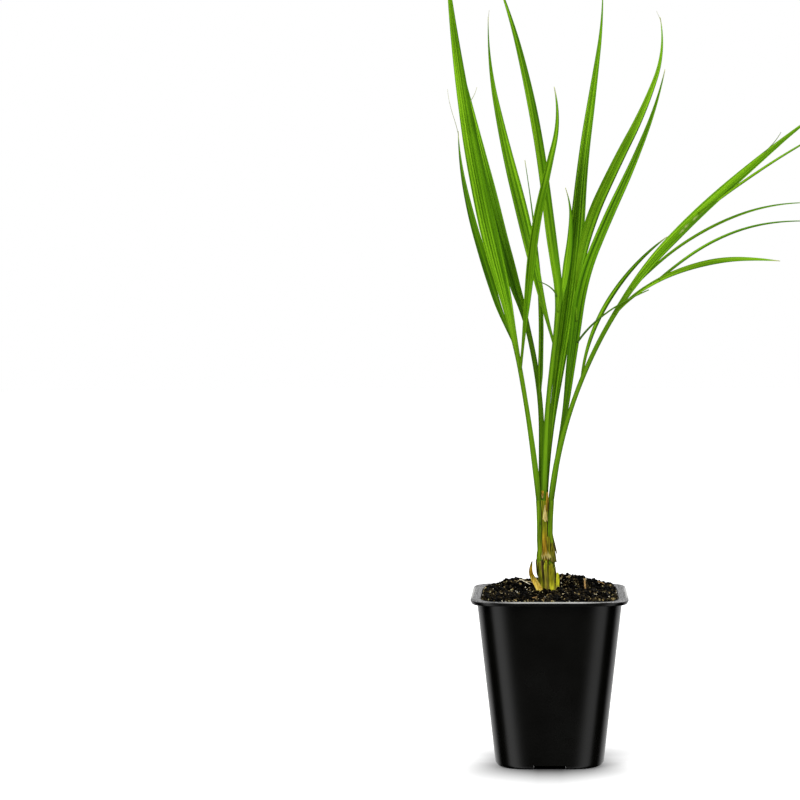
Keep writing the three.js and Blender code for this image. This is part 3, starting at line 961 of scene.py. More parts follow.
def square_pattern():
    """Unit patterns of a soft-cornered square: its outline is (half - radius) * corner + radius * outward.

    Outward runs along a quarter of a superellipse, |x|^n + |y|^n = 1, straighter at its ends than a circle.
    """
    corner, outward = [], []
    signs = np.array([[1, 1], [-1, 1], [-1, -1], [1, -1]], float)
    for number in range(4):
        angle = np.radians(90.0 * number) + np.linspace(0.0, np.pi / 2.0, CORNER_STEPS + 1)
        corner.append(np.repeat(signs[[number]], CORNER_STEPS + 1, axis=0))
        circle = np.column_stack([np.cos(angle), np.sin(angle)])
        norm = (np.abs(circle) ** CORNER_POWER).sum(1, keepdims=True) ** (1.0 / CORNER_POWER)
        outward.append(circle / norm)
        share = np.linspace(0.0, 1.0, SIDE_STEPS + 1)[1:-1, None]
        corner.append(mix(signs[number], signs[(number + 1) % 4], share))
        outward.append(np.repeat(outward[-1][-1:], SIDE_STEPS - 1, axis=0))
    return np.concatenate(corner), np.concatenate(outward)


def square_rings(rows):
    """Rings of a soft-cornered square, one for each row of half width, corner radius and height."""
    corner, outward = square_pattern()
    half, radius, height = (rows[:, [column], None] for column in range(3))
    flat = (half - radius) * corner[None] + radius * outward[None]
    return np.concatenate([flat, np.broadcast_to(height, (*flat.shape[:2], 1))], -1)


def inset_rows(half, radius, height, inset):
    """Rows of half width, corner radius and height, with the first two less an inset."""
    inset = np.asarray(inset, float)
    columns = np.broadcast_arrays(half - inset, radius - inset, height)
    return np.column_stack([np.ravel(column) for column in columns])


def body_rows(height, inset):
    """Rows of the pot's body: half width and corner radius change evenly with height, less an inset."""
    share = np.asarray(height, float) / POT_HIGH.z
    half = mix(BODY_WIDTH_AT_FOOT, BODY_WIDTH_UNDER_RIM, share) / 2.0
    return inset_rows(half, mix(CORNER_RADIUS_AT_FOOT, CORNER_RADIUS_UNDER_RIM, share), height, inset)


def rim_rows(height, inset):
    """Rows of the pot's rim, less an inset."""
    return inset_rows(RIM_HALF, RIM_CORNER_RADIUS, height, inset)


def inner_inset(height):
    """How far the pot's inside lies within its outside: the wall, which thickens upwards to the bead."""
    bead = (height - POT_HIGH.z + BEAD_HEIGHT) / (BEAD_HEIGHT - LIP_INNER_DROP)
    return WALL + LIP_OVERHANG * np.clip(bead, 0.0, 1.0)


def pot_rows():
    """The pot's profile from the middle of its underside, up outside, round the lip and down to its floor.

    The lip is highest along a crown near its outer edge, from where it slopes inwards to a small bead.
    """
    top = POT_HIGH.z
    under_lip = top - WALL
    edge = WALL / 2.0
    quarter = np.linspace(0.0, np.pi / 2.0, 7)
    half_turn = np.linspace(0.0, np.pi, 9)
    rising, spreading = 1.0 - np.sin(quarter), 1.0 - np.cos(quarter)
    underside = body_rows(0.0, np.linspace(UNDERSIDE_INSET, FOOT_ROUND + 0.0008, 12))
    foot = body_rows(FOOT_ROUND * spreading, FOOT_ROUND * rising)
    side = body_rows(np.linspace(FOOT_ROUND + 0.001, under_lip - SKIRT_FILLET, 48), 0.0)
    neck = body_rows(under_lip - SKIRT_FILLET * rising[1:], -SKIRT_FILLET * spreading[1:])
    inner_skirt = rim_rows([under_lip, under_lip - SKIRT_CHAMFER], [WALL + SKIRT_CHAMFER, WALL])
    skirt_edge = rim_rows(
        top - SKIRT_HEIGHT + edge * (1.0 - np.sin(half_turn)), SKIRT_TUCK + edge + edge * np.cos(half_turn),
    )
    outer_round = rim_rows(top - LIP_OUTER_DROP - LIP_ROUND * rising, LIP_ROUND * spreading - RIM_FLARE)
    bead_inset = WALL + LIP_OVERHANG
    inner = body_rows(top - LIP_INNER_DROP - BEAD_ROUND * spreading, bead_inset - BEAD_ROUND * rising)
    share = np.linspace(0.0, 1.0, 14)[1:-1]
    lip = mix(outer_round[-1], inner[0], share[:, None])
    inwards = np.clip((share - LIP_CROWN) / (1.0 - LIP_CROWN), 0.0, 1.0)
    outwards = np.clip(1.0 - share / LIP_CROWN, 0.0, 1.0)
    lip[:, 2] = top - LIP_INNER_DROP * inwards**LIP_SLOPE_POWER - LIP_OUTER_DROP * outwards**2
    inside = body_rows(np.linspace(top - BEAD_HEIGHT, FLOOR_THICKNESS, 12), WALL)
    outside = [underside, foot, side, neck, inner_skirt, skirt_edge]
    return np.concatenate([*outside, outer_round, lip, inner, inside])


def carve(piece, tool_part, operation):
    """Give the piece the mesh that is left when a tool part is joined to it or cut from it."""
    tool = new_object("tool", new_mesh("tool", tool_part, False))
    modifier = piece.modifiers.new("carve", "BOOLEAN")
    modifier.operation = operation
    modifier.solver = "EXACT"
    modifier.object = tool
    evaluated = piece.evaluated_get(bpy.context.evaluated_depsgraph_get())
    result = bpy.data.meshes.new_from_object(evaluated)
    piece.modifiers.clear()
    spent = (piece.data, tool.data)
    piece.data = result
    bpy.data.objects.remove(tool)
    for mesh in spent:
        bpy.data.meshes.remove(mesh)


def quarter_turned(part, turns):
    """A part turned about the pot's middle line by a number of quarter turns."""
    cosine, sine = (1, 0, -1, 0)[turns], (0, 1, 0, -1)[turns]
    turn = np.array([[cosine, -sine, 0], [sine, cosine, 0], [0, 0, 1]], float)
    return {**part, "points": part["points"] @ turn.T}


def channel_block(grow, outer_end, low, high):
    """A block along one side's drain channel, grown by a margin sideways and towards the middle."""
    half = CHANNEL_WIDTH / 2.0 + grow
    return block((CHANNEL_INNER_END - grow, -half, low), (outer_end, half, high))


def make_pot(colour):
    """The pot: a skin of rings, then ridges over the drain channels, the channels and four drain holes."""
    piece = make_piece("pot_shell", closed_tube(square_rings(pot_rows())), pot_plastic(colour))
    outside = BODY_WIDTH_AT_FOOT / 2.0
    ridge = channel_block(WALL, outside - WALL / 2.0, FLOOR_THICKNESS / 2.0, CHANNEL_DEPTH + FLOOR_THICKNESS)
    channel = channel_block(0.0, outside + CUT_MARGIN, -CUT_MARGIN, CHANNEL_DEPTH)
    hole_path = np.column_stack([np.full(2, HOLE_FROM_MIDDLE), np.zeros(2), HOLE_CUT])
    hole = round_tube(hole_path, HOLE_DIAMETER / 2.0, HOLE_SIDES)
    for tool, operation in ((ridge, "UNION"), (channel, "DIFFERENCE"), (hole, "DIFFERENCE")):
        for turns in range(4):
            carve(piece, quarter_turned(tool, turns), operation)
    piece.data.set_sharp_from_angle(angle=math.radians(SHARP_FROM_DEGREES))
    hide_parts("pot")


# Soil

def soil_height(x, y):
    """Height of the soil: level at the wall and under the stem, and heaped by a sum of soft bells."""
    height = np.full(np.shape(x), SOIL_EDGE)
    for heap in HEAPS:
        distance = ((x - heap.x) / heap.spread_x) ** 2 + ((y - heap.y) / heap.spread_y) ** 2
        height = height + heap.rise * np.exp(-distance)
    from_stem = np.hypot(x - STEM_MIDDLE[0], y - STEM_MIDDLE[1])
    return mix(SEAT_HEIGHT, height, smooth(from_stem, SEAT_RADIUS, SEAT_RADIUS + SEAT_BLEND))


def soil_rows(height):
    """Rows of the soil's outline, just inside the pot's wall."""
    return body_rows(height, inner_inset(height) + SOIL_GAP)


def make_soil_bed(relief):
    """The soil's body: rings from the pot's floor up its wall, then over the surface to the middle.

    The surface is roughened by three sizes of noise, which fade out at the wall.
    """
    bottom = FLOOR_THICKNESS + CHANNEL_DEPTH + SOIL_GAP
    walls = square_rings(soil_rows(np.linspace(bottom, SOIL_EDGE - 0.001, 10)))
    share = np.linspace(0.0, 1.0, SOIL_RINGS, endpoint=False)[:, None, None]
    surface = mix(square_rings(soil_rows(SOIL_EDGE)), np.array([*STEM_MIDDLE, 0.0]), share)
    flat = surface[..., :2]
    rough = sum(part * noise(flat, cell, seed) for cell, part, seed in SOIL_LUMPS)
    surface[..., 2] = soil_height(flat[..., 0], flat[..., 1])
    surface[..., 2] += relief * rough * smooth(share[..., 0], 0.0, SOIL_RIM_BLEND)
    material = soil_mix("damp_potting_mix", (0.0003, 0.0003, 0.0002), (0.005, 0.004, 0.002), 0.5)
    piece = make_piece("soil_bed", closed_tube(np.concatenate([walls, surface])), material)
    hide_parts("soil")


def rough_ball():
    """A ball of few faces: its points lie on evenly spaced levels between two poles."""
    tilt = np.linspace(0.0, np.pi, CRUMB_LEVELS + 2)[1:-1, None]
    turn = np.linspace(0.0, 2.0 * np.pi, CRUMB_SIDES, endpoint=False)[None]
    rings = [np.sin(tilt) * np.cos(turn), np.sin(tilt) * np.sin(turn), -np.cos(tilt) * np.ones_like(turn)]
    ball = closed_tube(np.stack(rings, -1))
    ball["points"][-2:] = [[0.0, 0.0, -1.0], [0.0, 0.0, 1.0]]
    return ball


def random_turns(rng, count):
    """Random turns as matrices, from random quaternions of length one."""
    w, x, y, z = unit(rng.normal(size=(count, 4))).T
    return np.stack([
        np.stack([1 - 2 * (y * y + z * z), 2 * (x * y - z * w), 2 * (x * z + y * w)], -1),
        np.stack([2 * (x * y + z * w), 1 - 2 * (x * x + z * z), 2 * (y * z - x * w)], -1),
        np.stack([2 * (x * z - y * w), 2 * (y * z + x * w), 1 - 2 * (x * x + y * y)], -1),
    ], -2)


def crumb_part(rng, kind, count):
    """Many crumbs of a kind: for each, a rough ball is dented, stretched, turned and laid on the soil.

    Sizes follow a power law, so most are small. A crumb's middle lies above the soil by part of its size.
    """
    ball = rough_ball()
    half, radius = soil_rows(SOIL_EDGE)[0, :2]
    size = mix(kind.smallest, kind.largest, rng.random(count) ** CRUMB_SIZE_POWER)
    spot = rng.uniform(-1.0, 1.0, (count, 2)) * (half - size[:, None] * CRUMB_ROOM)
    corner = np.maximum(np.abs(spot) - (half - radius), 0.0)
    outside = (corner**CORNER_POWER).sum(1) ** (1.0 / CORNER_POWER) > radius - size * CRUMB_ROOM
    near_stem = np.hypot(*(spot - STEM_MIDDLE).T) < STEM_CLEARANCE
    keep = ~(outside | near_stem)
    size, spot = size[keep], spot[keep]
    points = ball["points"][None] * rng.uniform(0.72, 1.2, (len(size), len(ball["points"]), 1))
    stretch = rng.uniform(0.65, 1.15, (len(size), 1, 3)) * np.array([1.0, 1.0, kind.squash])
    turned = np.einsum("nij,npj->npi", random_turns(rng, len(size)), points * stretch)
    middle = np.column_stack([spot, soil_height(*spot.T) + size * (1.0 - kind.sink)])
    placed = turned * size[:, None, None] + middle[:, None]
    offsets = (np.arange(len(size)) * len(ball["points"]))[:, None, None]
    return {
        "points": placed.reshape(-1, 3),
        "quads": (ball["quads"][None] + offsets).reshape(-1, 4),
        "triangles": (ball["triangles"][None] + offsets).reshape(-1, 3),
        "values": {},
    }


def make_crumbs(density):
    """The loose top of the potting mix, one piece for each kind of crumb."""
    rng = np.random.default_rng(11)
    for kind in CRUMBS:
        part = crumb_part(rng, kind, int(kind.count * density))
        material = soil_mix("potting_" + kind.name, kind.dark, kind.light, kind.gloss)
        make_piece("crumbs_" + kind.name, part, material)


def litter_strand(strand):
    """A dry scrap on the soil: a tube between two points that follows the soil, bowed sideways and lifted."""
    share = np.linspace(0.0, 1.0, STRAND_STATIONS)[:, None]
    start, end = np.array(strand.start), np.array(strand.end)
    line = end - start
    sideways = np.array([-line[1], line[0]]) * strand.bow
    arch = np.sin(np.pi * share)
    flat = mix(start, end, share) + sideways * arch
    lift = strand.lift * arch[:, 0] + strand.rise * share[:, 0] ** 1.3
    path = np.column_stack([flat, soil_height(*flat.T) + strand.radius + strand.seat + lift])
    wobble = 1.0 + 0.25 * noise(share * 9.0, 1.0, strand.seed)
    return round_tube(path, strand.radius * wobble * mix(1.0, strand.tip, share[:, 0]), STRAND_SIDES)


def make_litter():
    """Straw, fine roots and a dry stalk in the potting mix, one piece for each colour."""
    for colour, (dark, light) in LITTER_COLOURS.items():
        part = joined([litter_strand(strand) for strand in LITTER if strand.colour == colour])
        make_piece("litter_" + colour, part, straw("dry_" + colour, dark, light))


# Stem

def stem_line(height):
    """The stem's middle along X and half its width at a height above its foot.

    Both follow smooth curves through the stem's sections: cubics with the sections' own slopes at their ends.
    """
    rows = STEM_SECTIONS
    slopes = np.gradient(rows[:, 1:], rows[:, 0], axis=0)
    place = np.clip(np.searchsorted(rows[:, 0], height, side="right") - 1, 0, len(rows) - 2)
    span = (rows[place + 1, 0] - rows[place, 0])[..., None]
    share = np.clip((height - rows[place, 0])[..., None] / span, 0.0, 1.0)
    start, stop = rows[place, 1:], rows[place + 1, 1:]
    curve = (
        start * (2 * share**3 - 3 * share**2 + 1) + slopes[place] * span * (share**3 - 2 * share**2 + share)
        + stop * (3 * share**2 - 2 * share**3) + slopes[place + 1] * span * (share**3 - share**2)
    )
    return curve[..., 0], curve[..., 1]


def frond_ridges(angle, height):
    """Radius over the frond bases at angles and heights, and which base shows.

    The stem is a bundle: each frond's base is a round ridge, a circle whose middle runs from the frond's foot
    down the stem, drawn in where the stem is slimmer. Between the ridges shows a flattened core.
    """
    half = stem_line(height)[1] - SHEATH_THICKNESS * (1.0 - smooth(height, *SHEATHS_END))
    depth = half * STEM_DEPTH_SHARE
    top_middle, top_half = stem_line(np.array(STEM_HEIGHT))
    best = CORE_SHARE * half / np.sqrt(np.cos(angle) ** 2 + (np.sin(angle) / STEM_DEPTH_SHARE) ** 2)
    shows = np.full(np.shape(best), -1)
    low = 1.0 - smooth(height, *RIDGES_SLIM)
    for number, frond in enumerate(FRONDS.values()):
        top_ridge = max(frond.foot_half_width, THINNEST_RIDGE)
        ridge = mix(top_ridge, LOW_RIDGE, low)
        x = (frond.foot[0] - top_middle) * (half - ridge) / (top_half - top_ridge)
        x = np.clip(x, ridge - half, half - ridge)
        y = np.clip(frond.foot[1], ridge - depth, depth - ridge)
        swing = angle - np.arctan2(y, x)
        distance = np.hypot(x, y)
        inside = ridge**2 - (distance * np.sin(swing)) ** 2
        facing = (inside > 0) & (np.cos(swing) > 0)
        reach = np.where(facing, distance * np.cos(swing) + np.sqrt(np.maximum(inside, 0.0)), 0.0)
        shows = np.where(reach > best, number, shows)
        best = np.maximum(best, reach)
    return best, shows


def sheath_cover(angle, height):
    """How far the old sheaths at the stem's foot stand out at angles and heights, and which one shows.

    Each covers a window of angles up to a torn top, is thickest in its middle and thins to its sides.
    """
    best = np.zeros(np.shape(angle))
    shows = np.full(np.shape(angle), -1)
    for number, sheath in enumerate(SHEATHS):
        middle = np.radians(sheath.angle + SHEATH_SLANT * height)
        swing = np.degrees(np.angle(np.exp(1j * (angle - middle))))
        torn = sheath.top + SHEATH_TEAR * noise((swing / 11.0 + 40.0 * number)[..., None], 1.0, sheath.seed)
        window = np.clip(1.0 - (swing / sheath.spread) ** 2, 0.0, 1.0) ** 0.6
        left = 1.0 - smooth(height, torn - SHEATH_LIP, torn)
        lift = SHEATH_THICKNESS * (0.35 + 0.75 * window) * (window > 0.0) * left
        shows = np.where(lift > best, number, shows)
        best = np.maximum(best, lift)
    return best, shows


def stem_surface(angle, height):
    """Radius of the stem's surface about its middle: the frond bases, with the old sheaths over them."""
    return frond_ridges(angle, height)[0] + sheath_cover(angle, height)[0]


def tint_grid(like):
    """All sheath tints at none, over a grid."""
    return {name: np.zeros(np.shape(like)) for name in TINTS}


def held(values):
    """Named values, each held between 0 and 1."""
    return {name: np.clip(value, 0.0, 1.0) for name, value in values.items()}


def stem_points(angle, height, lift):
    """Points on the stem's surface at angles and heights, lifted off it by a distance."""
    radius = stem_surface(angle, np.minimum(height, STEM_HEIGHT)) + lift
    x = stem_line(height)[0] + radius * np.cos(angle)
    return np.stack([x, radius * np.sin(angle), STEM_LOW.z + height + np.zeros_like(angle)], -1)


def wrapped(angle, radius, height):
    """Points on a cylinder, so that noise over them closes up round the stem."""
    return np.stack([np.cos(angle) * radius, np.sin(angle) * radius, height], -1)


def make_stem(material):
    """The bundle of leaf bases: a fine skin over the ridges, ribbed along its fibres, with tints as values.

    The top rows draw in to the middle along a quarter round, a soft dome between the petioles.
    """
    turn = np.linspace(0.0, 2.0 * np.pi, STEM_SIDES, endpoint=False)[None, :]
    dome = np.linspace(0.0, np.pi / 2.0, STEM_DOME_ROWS + 1)[1:] * STEM_DOME_CLOSES
    dome = np.concatenate([np.zeros(STEM_ROWS), dome])[:, None]
    height = np.concatenate([np.linspace(0.0, STEM_HEIGHT, STEM_ROWS), np.full(STEM_DOME_ROWS, STEM_HEIGHT)])
    angle, height, dome = np.broadcast_arrays(turn, height[:, None], dome)
    wrap = wrapped(angle + STEM_FIBRE_TWIST * height, 0.0055, height / 30.0)
    fibre = noise(wrap, 0.0005, 21)
    broad = noise(wrap, 0.0014, 24)
    lump = noise(wrapped(angle, 0.005, height), 0.006, 22)
    points = stem_points(angle, height, 0.00007 * fibre + 0.0001 * broad + 0.0002 * lump)
    middle = stem_line(height)[0]
    points[..., 0] = middle + (points[..., 0] - middle) * np.cos(dome)
    points[..., 1] *= np.cos(dome)
    points[..., 2] += STEM_DOME * np.sin(dome)
    radius = stem_surface(angle, height)
    around = (np.roll(radius, 5, axis=1) + np.roll(radius, -5, axis=1)) / 2.0
    base = frond_ridges(angle, height)[1]
    cover, sheath = sheath_cover(angle, height)
    values = tint_grid(angle)
    young = cover <= 0.0
    front = np.isin(base, (2, -1)) & (np.sin(angle) < 0.0) & young
    aged = 1.0 - smooth(height, *AGED_UP_TO)
    values["olive"] += front * (0.7 + 0.3 * aged) + 0.5 * aged * (young & ~front) * smooth(broad, -0.2, 0.6)
    values["orange"] += front * smooth(height + 0.004 * lump, *ORANGE_UP_TO)
    values["yellow"] += 0.12 * front * smooth(broad, 0.0, 0.6)
    mottle = smooth(broad + 0.4 * fibre, -0.3, 0.7)
    for number, old in enumerate(SHEATHS):
        here = (sheath == number) * smooth(cover, 0.0, 0.0003)
        values[old.tint] += here * (1.0 - 0.6 * mottle)
        values[old.second] += here * 0.45 * mottle
        values["yellow"] += here * 0.5 * (1.0 - smooth(height, *YELLOW_FOOT))
    values["brown"] += 0.75 * smooth(broad + 0.35 * fibre, 0.2, 0.55) * (1.0 - smooth(height, *BROWN_UP_TO))
    # Painted shade: dark in the hollows between the ridges, by how far the surface lies below its neighbours,
    # and over the dome between the petioles
    values["dark_marks_and_shade"] = np.maximum(smooth(around - radius, *RECESS_SHADE_DEPTHS), smooth(dome, 0.3, 1.2))
    piece = make_piece("stem_leaf_bases", closed_tube(points, held(values)), material)
    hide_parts("stem")


def flap_part(flap):
    """A flap: a thin strip of the stem's surface that widens downwards and lifts off to its torn edge."""
    across = np.linspace(-1.0, 1.0, FLAP_COLUMNS)[None, :]
    down = np.linspace(0.0, 1.0, FLAP_ROWS)[:, None]

    def tear(cells, seed):
        """Noise along the torn edge, of so many cells to either side."""
        place = np.column_stack([across[0] * cells, np.full(FLAP_COLUMNS, flap.seed)])
        return noise(place, 1.0, flap.seed + seed)

    def over(cells, rows, seed):
        """Noise over the strip, of so many cells to either side and rows of cells down."""
        return noise(np.stack(np.broadcast_arrays(across * cells, down * rows), -1), 1.0, flap.seed + seed)

    torn = 0.7 * tear(4.0, 0) + 0.45 * tear(12.0, 50) + 0.5 * np.abs(across[0]) ** 2
    height = mix(flap.top, (flap.bottom + flap.tear * torn)[None], down)
    spread = mix(flap.top_width, flap.bottom_width, down**0.8)
    angle = np.radians(flap.angle + flap.slant * down + spread * across)
    wave, fibre, patch = over(3.0, 2.0, 9), over(11.0, 1.5, 19), over(4.0, 5.0, 29)
    lift = FLAP_CLEARANCE + flap.lift * down**2 * (1.0 + 0.5 * wave) + 0.00006 * fibre * down
    edge = smooth(down + 0.3 * wave + 0.2 * patch, 0.66, 0.95)
    values = tint_grid(edge)
    values[flap.colour] = 1.0 - 0.8 * edge * (flap.edge != flap.colour)
    values[flap.edge] = np.maximum(values[flap.edge], 0.85 * edge)
    values["brown"] = np.maximum(values["brown"], 0.45 * smooth(patch, 0.2, 0.7))
    values["dark_marks_and_shade"] = 0.55 * smooth(fibre, 0.1, 0.6) * (1.0 - 0.5 * edge)
    return thin_shell(stem_points(angle, height, lift), FLAP_THICKNESS, values)


def make_flaps(material):
    """All the dead scraps of sheath on the stem, as one piece."""
    make_piece("sheath_scraps", joined([flap_part(flap) for flap in FLAPS]), material)


def make_scales(material):
    """The dead leaf bases beside the stem, each a folded leaf skin on the soil where its node stands.

    Each is tinted from its foot to its tip by its list, and dark along its margins.
    """
    for node, scale in SCALES.items():
        foot = np.array([*scale.foot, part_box(node)[0].z])
        part, _ = leaf_skin(foot, scale.leaf, scale.leaf.width / 2.0, SCALE_NUMBER)
        share = np.clip(part["values"]["down"] * STREAK_LENGTH / scale.leaf.length, 0.0, 1.0)
        margin = smooth(np.abs(part["values"]["across"]), 0.8, 1.0)
        values = tint_grid(share)
        for number, name in enumerate(scale.tints):
            values[name] += np.clip(1.0 - np.abs(share * (len(scale.tints) - 1) - number), 0.0, 1.0)
        values["dark_marks_and_shade"] = 0.45 * margin + scale.dark_tip * smooth(share, 0.6, 0.95)
        part["values"] = held(values)
        piece = make_piece(node + "_blade", part, material)
        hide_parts(node)


# Leaves

def rib(foot, leaf, stations):
    """A leaf's rib: shares of its length, points and directions.

    The direction leans right and back by the leaf's angles. A point is the foot plus all strides below it,
    each taken in the direction half way along it.
    """
    def direction(share):
        lean, back = np.radians(along(leaf.lean, share)), np.radians(along(leaf.back, share))
        return np.stack([np.sin(lean) * np.cos(back), np.sin(back), np.cos(lean) * np.cos(back)], -1)

    share = np.linspace(0.0, 1.0, stations + 1)
    strides = direction((share[1:] + share[:-1]) / 2.0) * leaf.length / stations
    points = foot + np.concatenate([np.zeros((1, 3)), np.cumsum(strides, axis=0)])
    return share, points, direction(share)


def rib_frame(direction, twist):
    """Unit vectors across the blade and out of its face, turned about the rib by the twist."""
    side = unit(np.cross(direction, FRONT))
    face = np.cross(side, direction)
    twist = np.radians(twist)
    return np.cos(twist) * side - np.sin(twist) * face, np.cos(twist) * face + np.sin(twist) * side


def blade_share(share, leaf):
    """Share of the blade's full width: a smoothstep up to the widest place, then a long taper to the tip."""
    widens = leaf.widest > leaf.blade_from
    rise = smooth(share, leaf.blade_from, leaf.widest) if widens else np.ones_like(share)
    past = np.clip((share - leaf.widest) / (1.0 - leaf.widest), 0.0, 1.0)
    return np.where(share < leaf.widest, rise, (1.0 - past**1.5) ** leaf.taper)


def pleat_wave(leaf, place):
    """A wave of straight sides between -1 and 1, one for each two pleats, by place across the leaf."""
    value = place * leaf.pleats / 2.0 + 0.5
    return 4.0 * np.abs(value - np.floor(value + 0.5)) - 1.0


def tone_with_painted_shade(leaf, number, opened, blade, place):
    """The leaf's tone over its skin, with painted light and shade.

    Painted shade darkens the valleys of its pleats, each to its own depth, and the rib's sides, and the
    pleats' ridges are painted lighter; one half is painted darker as painted shade. A petiole has painted
    shading: it is darker to both sides of a paler line.
    """
    pleat = pleat_wave(leaf, place)
    broad = noise((place * 2.0 + number * 5.0)[..., None], 1.0, number + 60)
    fine = noise((place * 7.0 + number * 3.0)[..., None], 1.0, number + 61)
    valley_shade = bell(pleat + 1.0, 0.45) * (0.65 + 0.35 * fine)
    # Painted shade: one half darker, the pleats' valleys darker and their ridges lighter, and the rib's sides
    # darker
    tone = leaf.tone - leaf.shade * np.tanh(2.5 * place) * opened
    tone = tone + (0.08 * pleat - 0.26 * valley_shade) * blade * opened
    tone = tone + (0.12 * broad + 0.08 * fine) * opened - 0.12 * bell(place, 0.13) * opened
    # Painted shading of the petiole's roundness: a paler line with darker sides
    stalk = 0.14 * bell(place + 0.15, 0.2) - 0.32 * np.abs(place) ** 2.5 + 0.08 * fine
    return tone + (1.0 - opened) * stalk


def leaf_skin(foot, leaf, foot_half_width, number, below=0.0):
    """A leaf as a closed tube of sections, with its rib.

    A section has a lower and an upper line between the margins. At a petiole's foot they make a circle, and
    further up a flattened one with a shallow channel on top. On the blade both follow a fold that rises by
    the leaf's fold times the distance from the rib, with pleats as a triangle wave across it, and lie the
    blade's thickness apart, with a keel under the rib. Below is how far the foot is sunk, for a leaf that
    grows from the stem.
    """
    stations = max(FEWEST_STATIONS, int(leaf.length / STATION_LENGTH))
    share, points, direction = rib(foot, leaf, stations)
    rooted = below > 0
    if rooted:
        share = np.concatenate([[0.0], share])
        points = np.concatenate([points[:1] - UP * below, points])
        direction = np.concatenate([UP[None], direction])
        direction[1] = UP
    columns = COLUMNS_PER_PLEAT * leaf.pleats + 1 if leaf.pleats > 1 else PLAIN_COLUMNS
    line = np.linspace(-1.0, 1.0, columns)
    place = np.concatenate([line[::-1], line[1:-1]])[None]
    upper = np.concatenate([np.zeros(columns, bool), np.ones(columns - 2, bool)])[None]
    s = share[:, None]
    from_foot = s * leaf.length
    blade = blade_share(s, leaf)
    past = s > leaf.widest
    opened = np.where(past, 1.0, smooth(blade, 0.0, 0.45))
    station = np.column_stack([share * leaf.length, np.full(len(share), float(number))])
    wobble = noise(station, 0.03, number)[:, None]
    sway = noise(station, 0.05, number + 7)[:, None]
    near_foot = (1.0 - smooth(from_foot, 0.0, PETIOLE_ROUND_LENGTH)) * rooted
    slim = foot_half_width * (1.0 - PETIOLE_SLIMMING * smooth(from_foot, *PETIOLE_SLIMS_BETWEEN) * rooted)
    half = mix(np.where(past, TIP_HALF_WIDTH, slim), leaf.width / 2.0, blade)
    half = half * (1.0 + 0.05 * wobble * opened)
    thinned = mix(1.0, 0.7, smooth(s, 0.0, 0.5))
    stalk = mix(np.minimum(PETIOLE_HALF_THICKNESS, foot_half_width) * thinned, foot_half_width, near_foot)
    fold = mix(mix(0.8, leaf.fold, smooth(blade, 0.2, 0.9)), leaf.fold, past)
    across = mix(np.sin(place * np.pi / 2.0), place, opened) * half
    roundness = np.cos(place * np.pi / 2.0)
    channel = 0.4 * stalk * (1.0 - near_foot) * bell(place, 0.4) * upper
    stalk_line = np.where(upper, mix(0.62, 1.0, near_foot), -1.0) * stalk * roundness - channel
    pleat = leaf.pleat_depth * blade * pleat_wave(leaf, place) * (1.0 - np.abs(place) ** 6)
    folded = fold * half * (np.sqrt(place**2 + 0.006) - 0.35) + pleat
    thickness = BLADE_THICKNESS * mix(0.55, 1.0, blade) * np.sqrt(np.maximum(1.0 - place**8, 0.0))
    keel = KEEL_DEPTH * bell(place, 0.09) * mix(0.4, 1.0, blade) * mix(1.5, 0.3, s) * ~upper
    blade_line = folded + np.where(upper, 0.5, -0.5) * thickness - keel
    through = mix(stalk_line, blade_line, opened)
    edge = np.minimum(MARGIN_WIDTH, 0.34 * half)
    margin = 1.0 - smooth(half - np.abs(across), 0.2 * edge, edge)
    if rooted:
        across[0] *= SUNK_FOOT_SHARE
        through[0] *= SUNK_FOOT_SHARE
    side, face = rib_frame(direction, leaf.twist * blade + 7.0 * sway * opened)
    rings = points[:, None] + across[..., None] * side[:, None] + through[..., None] * face[:, None]
    dry = 0.9 * smooth(from_foot, leaf.length - DRY_TIP[0], leaf.length - DRY_TIP[1])
    for scar_share, scar_place in leaf.scars:
        scar = bell(s - scar_share, SCAR_LENGTH_SHARE) * bell(place - scar_place, SCAR_BREADTH_SHARE)
        dry = np.maximum(dry, scar)
    values = {
        "across": place,
        "breadth": place * leaf.width / 2.0 / STREAK_UNIT,
        "down": from_foot / STREAK_LENGTH,
        "tone": tone_with_painted_shade(leaf, number, opened, blade, place),
        "number": float(number) * 3.7,
        "stalk": (1.0 - opened) * 0.6 + 0.4 * near_foot,
        "dry": dry,
        "margin": margin,
    }
    return closed_tube(rings, values), points[1:] if rooted else points


def point_on(points, share):
    """The point at a share of the way along a row of evenly spaced points."""
    place = share * (len(points) - 1)
    return np.array([np.interp(place, np.arange(len(points)), points[:, axis]) for axis in range(3)])


def leaf_parts(foot, leaf, foot_half_width, number, below=0.0):
    """A leaf and all the leaflets that grow from its rib, as a list of parts."""
    part, points = leaf_skin(foot, leaf, foot_half_width, number, below)
    parts = [part]
    for order, leaflet in enumerate(leaf.leaflets):
        start = point_on(points, leaflet.start)
        parts += leaf_parts(start, leaflet, LEAFLET_FOOT_HALF_WIDTH, number * 10 + order + 1)
    return parts


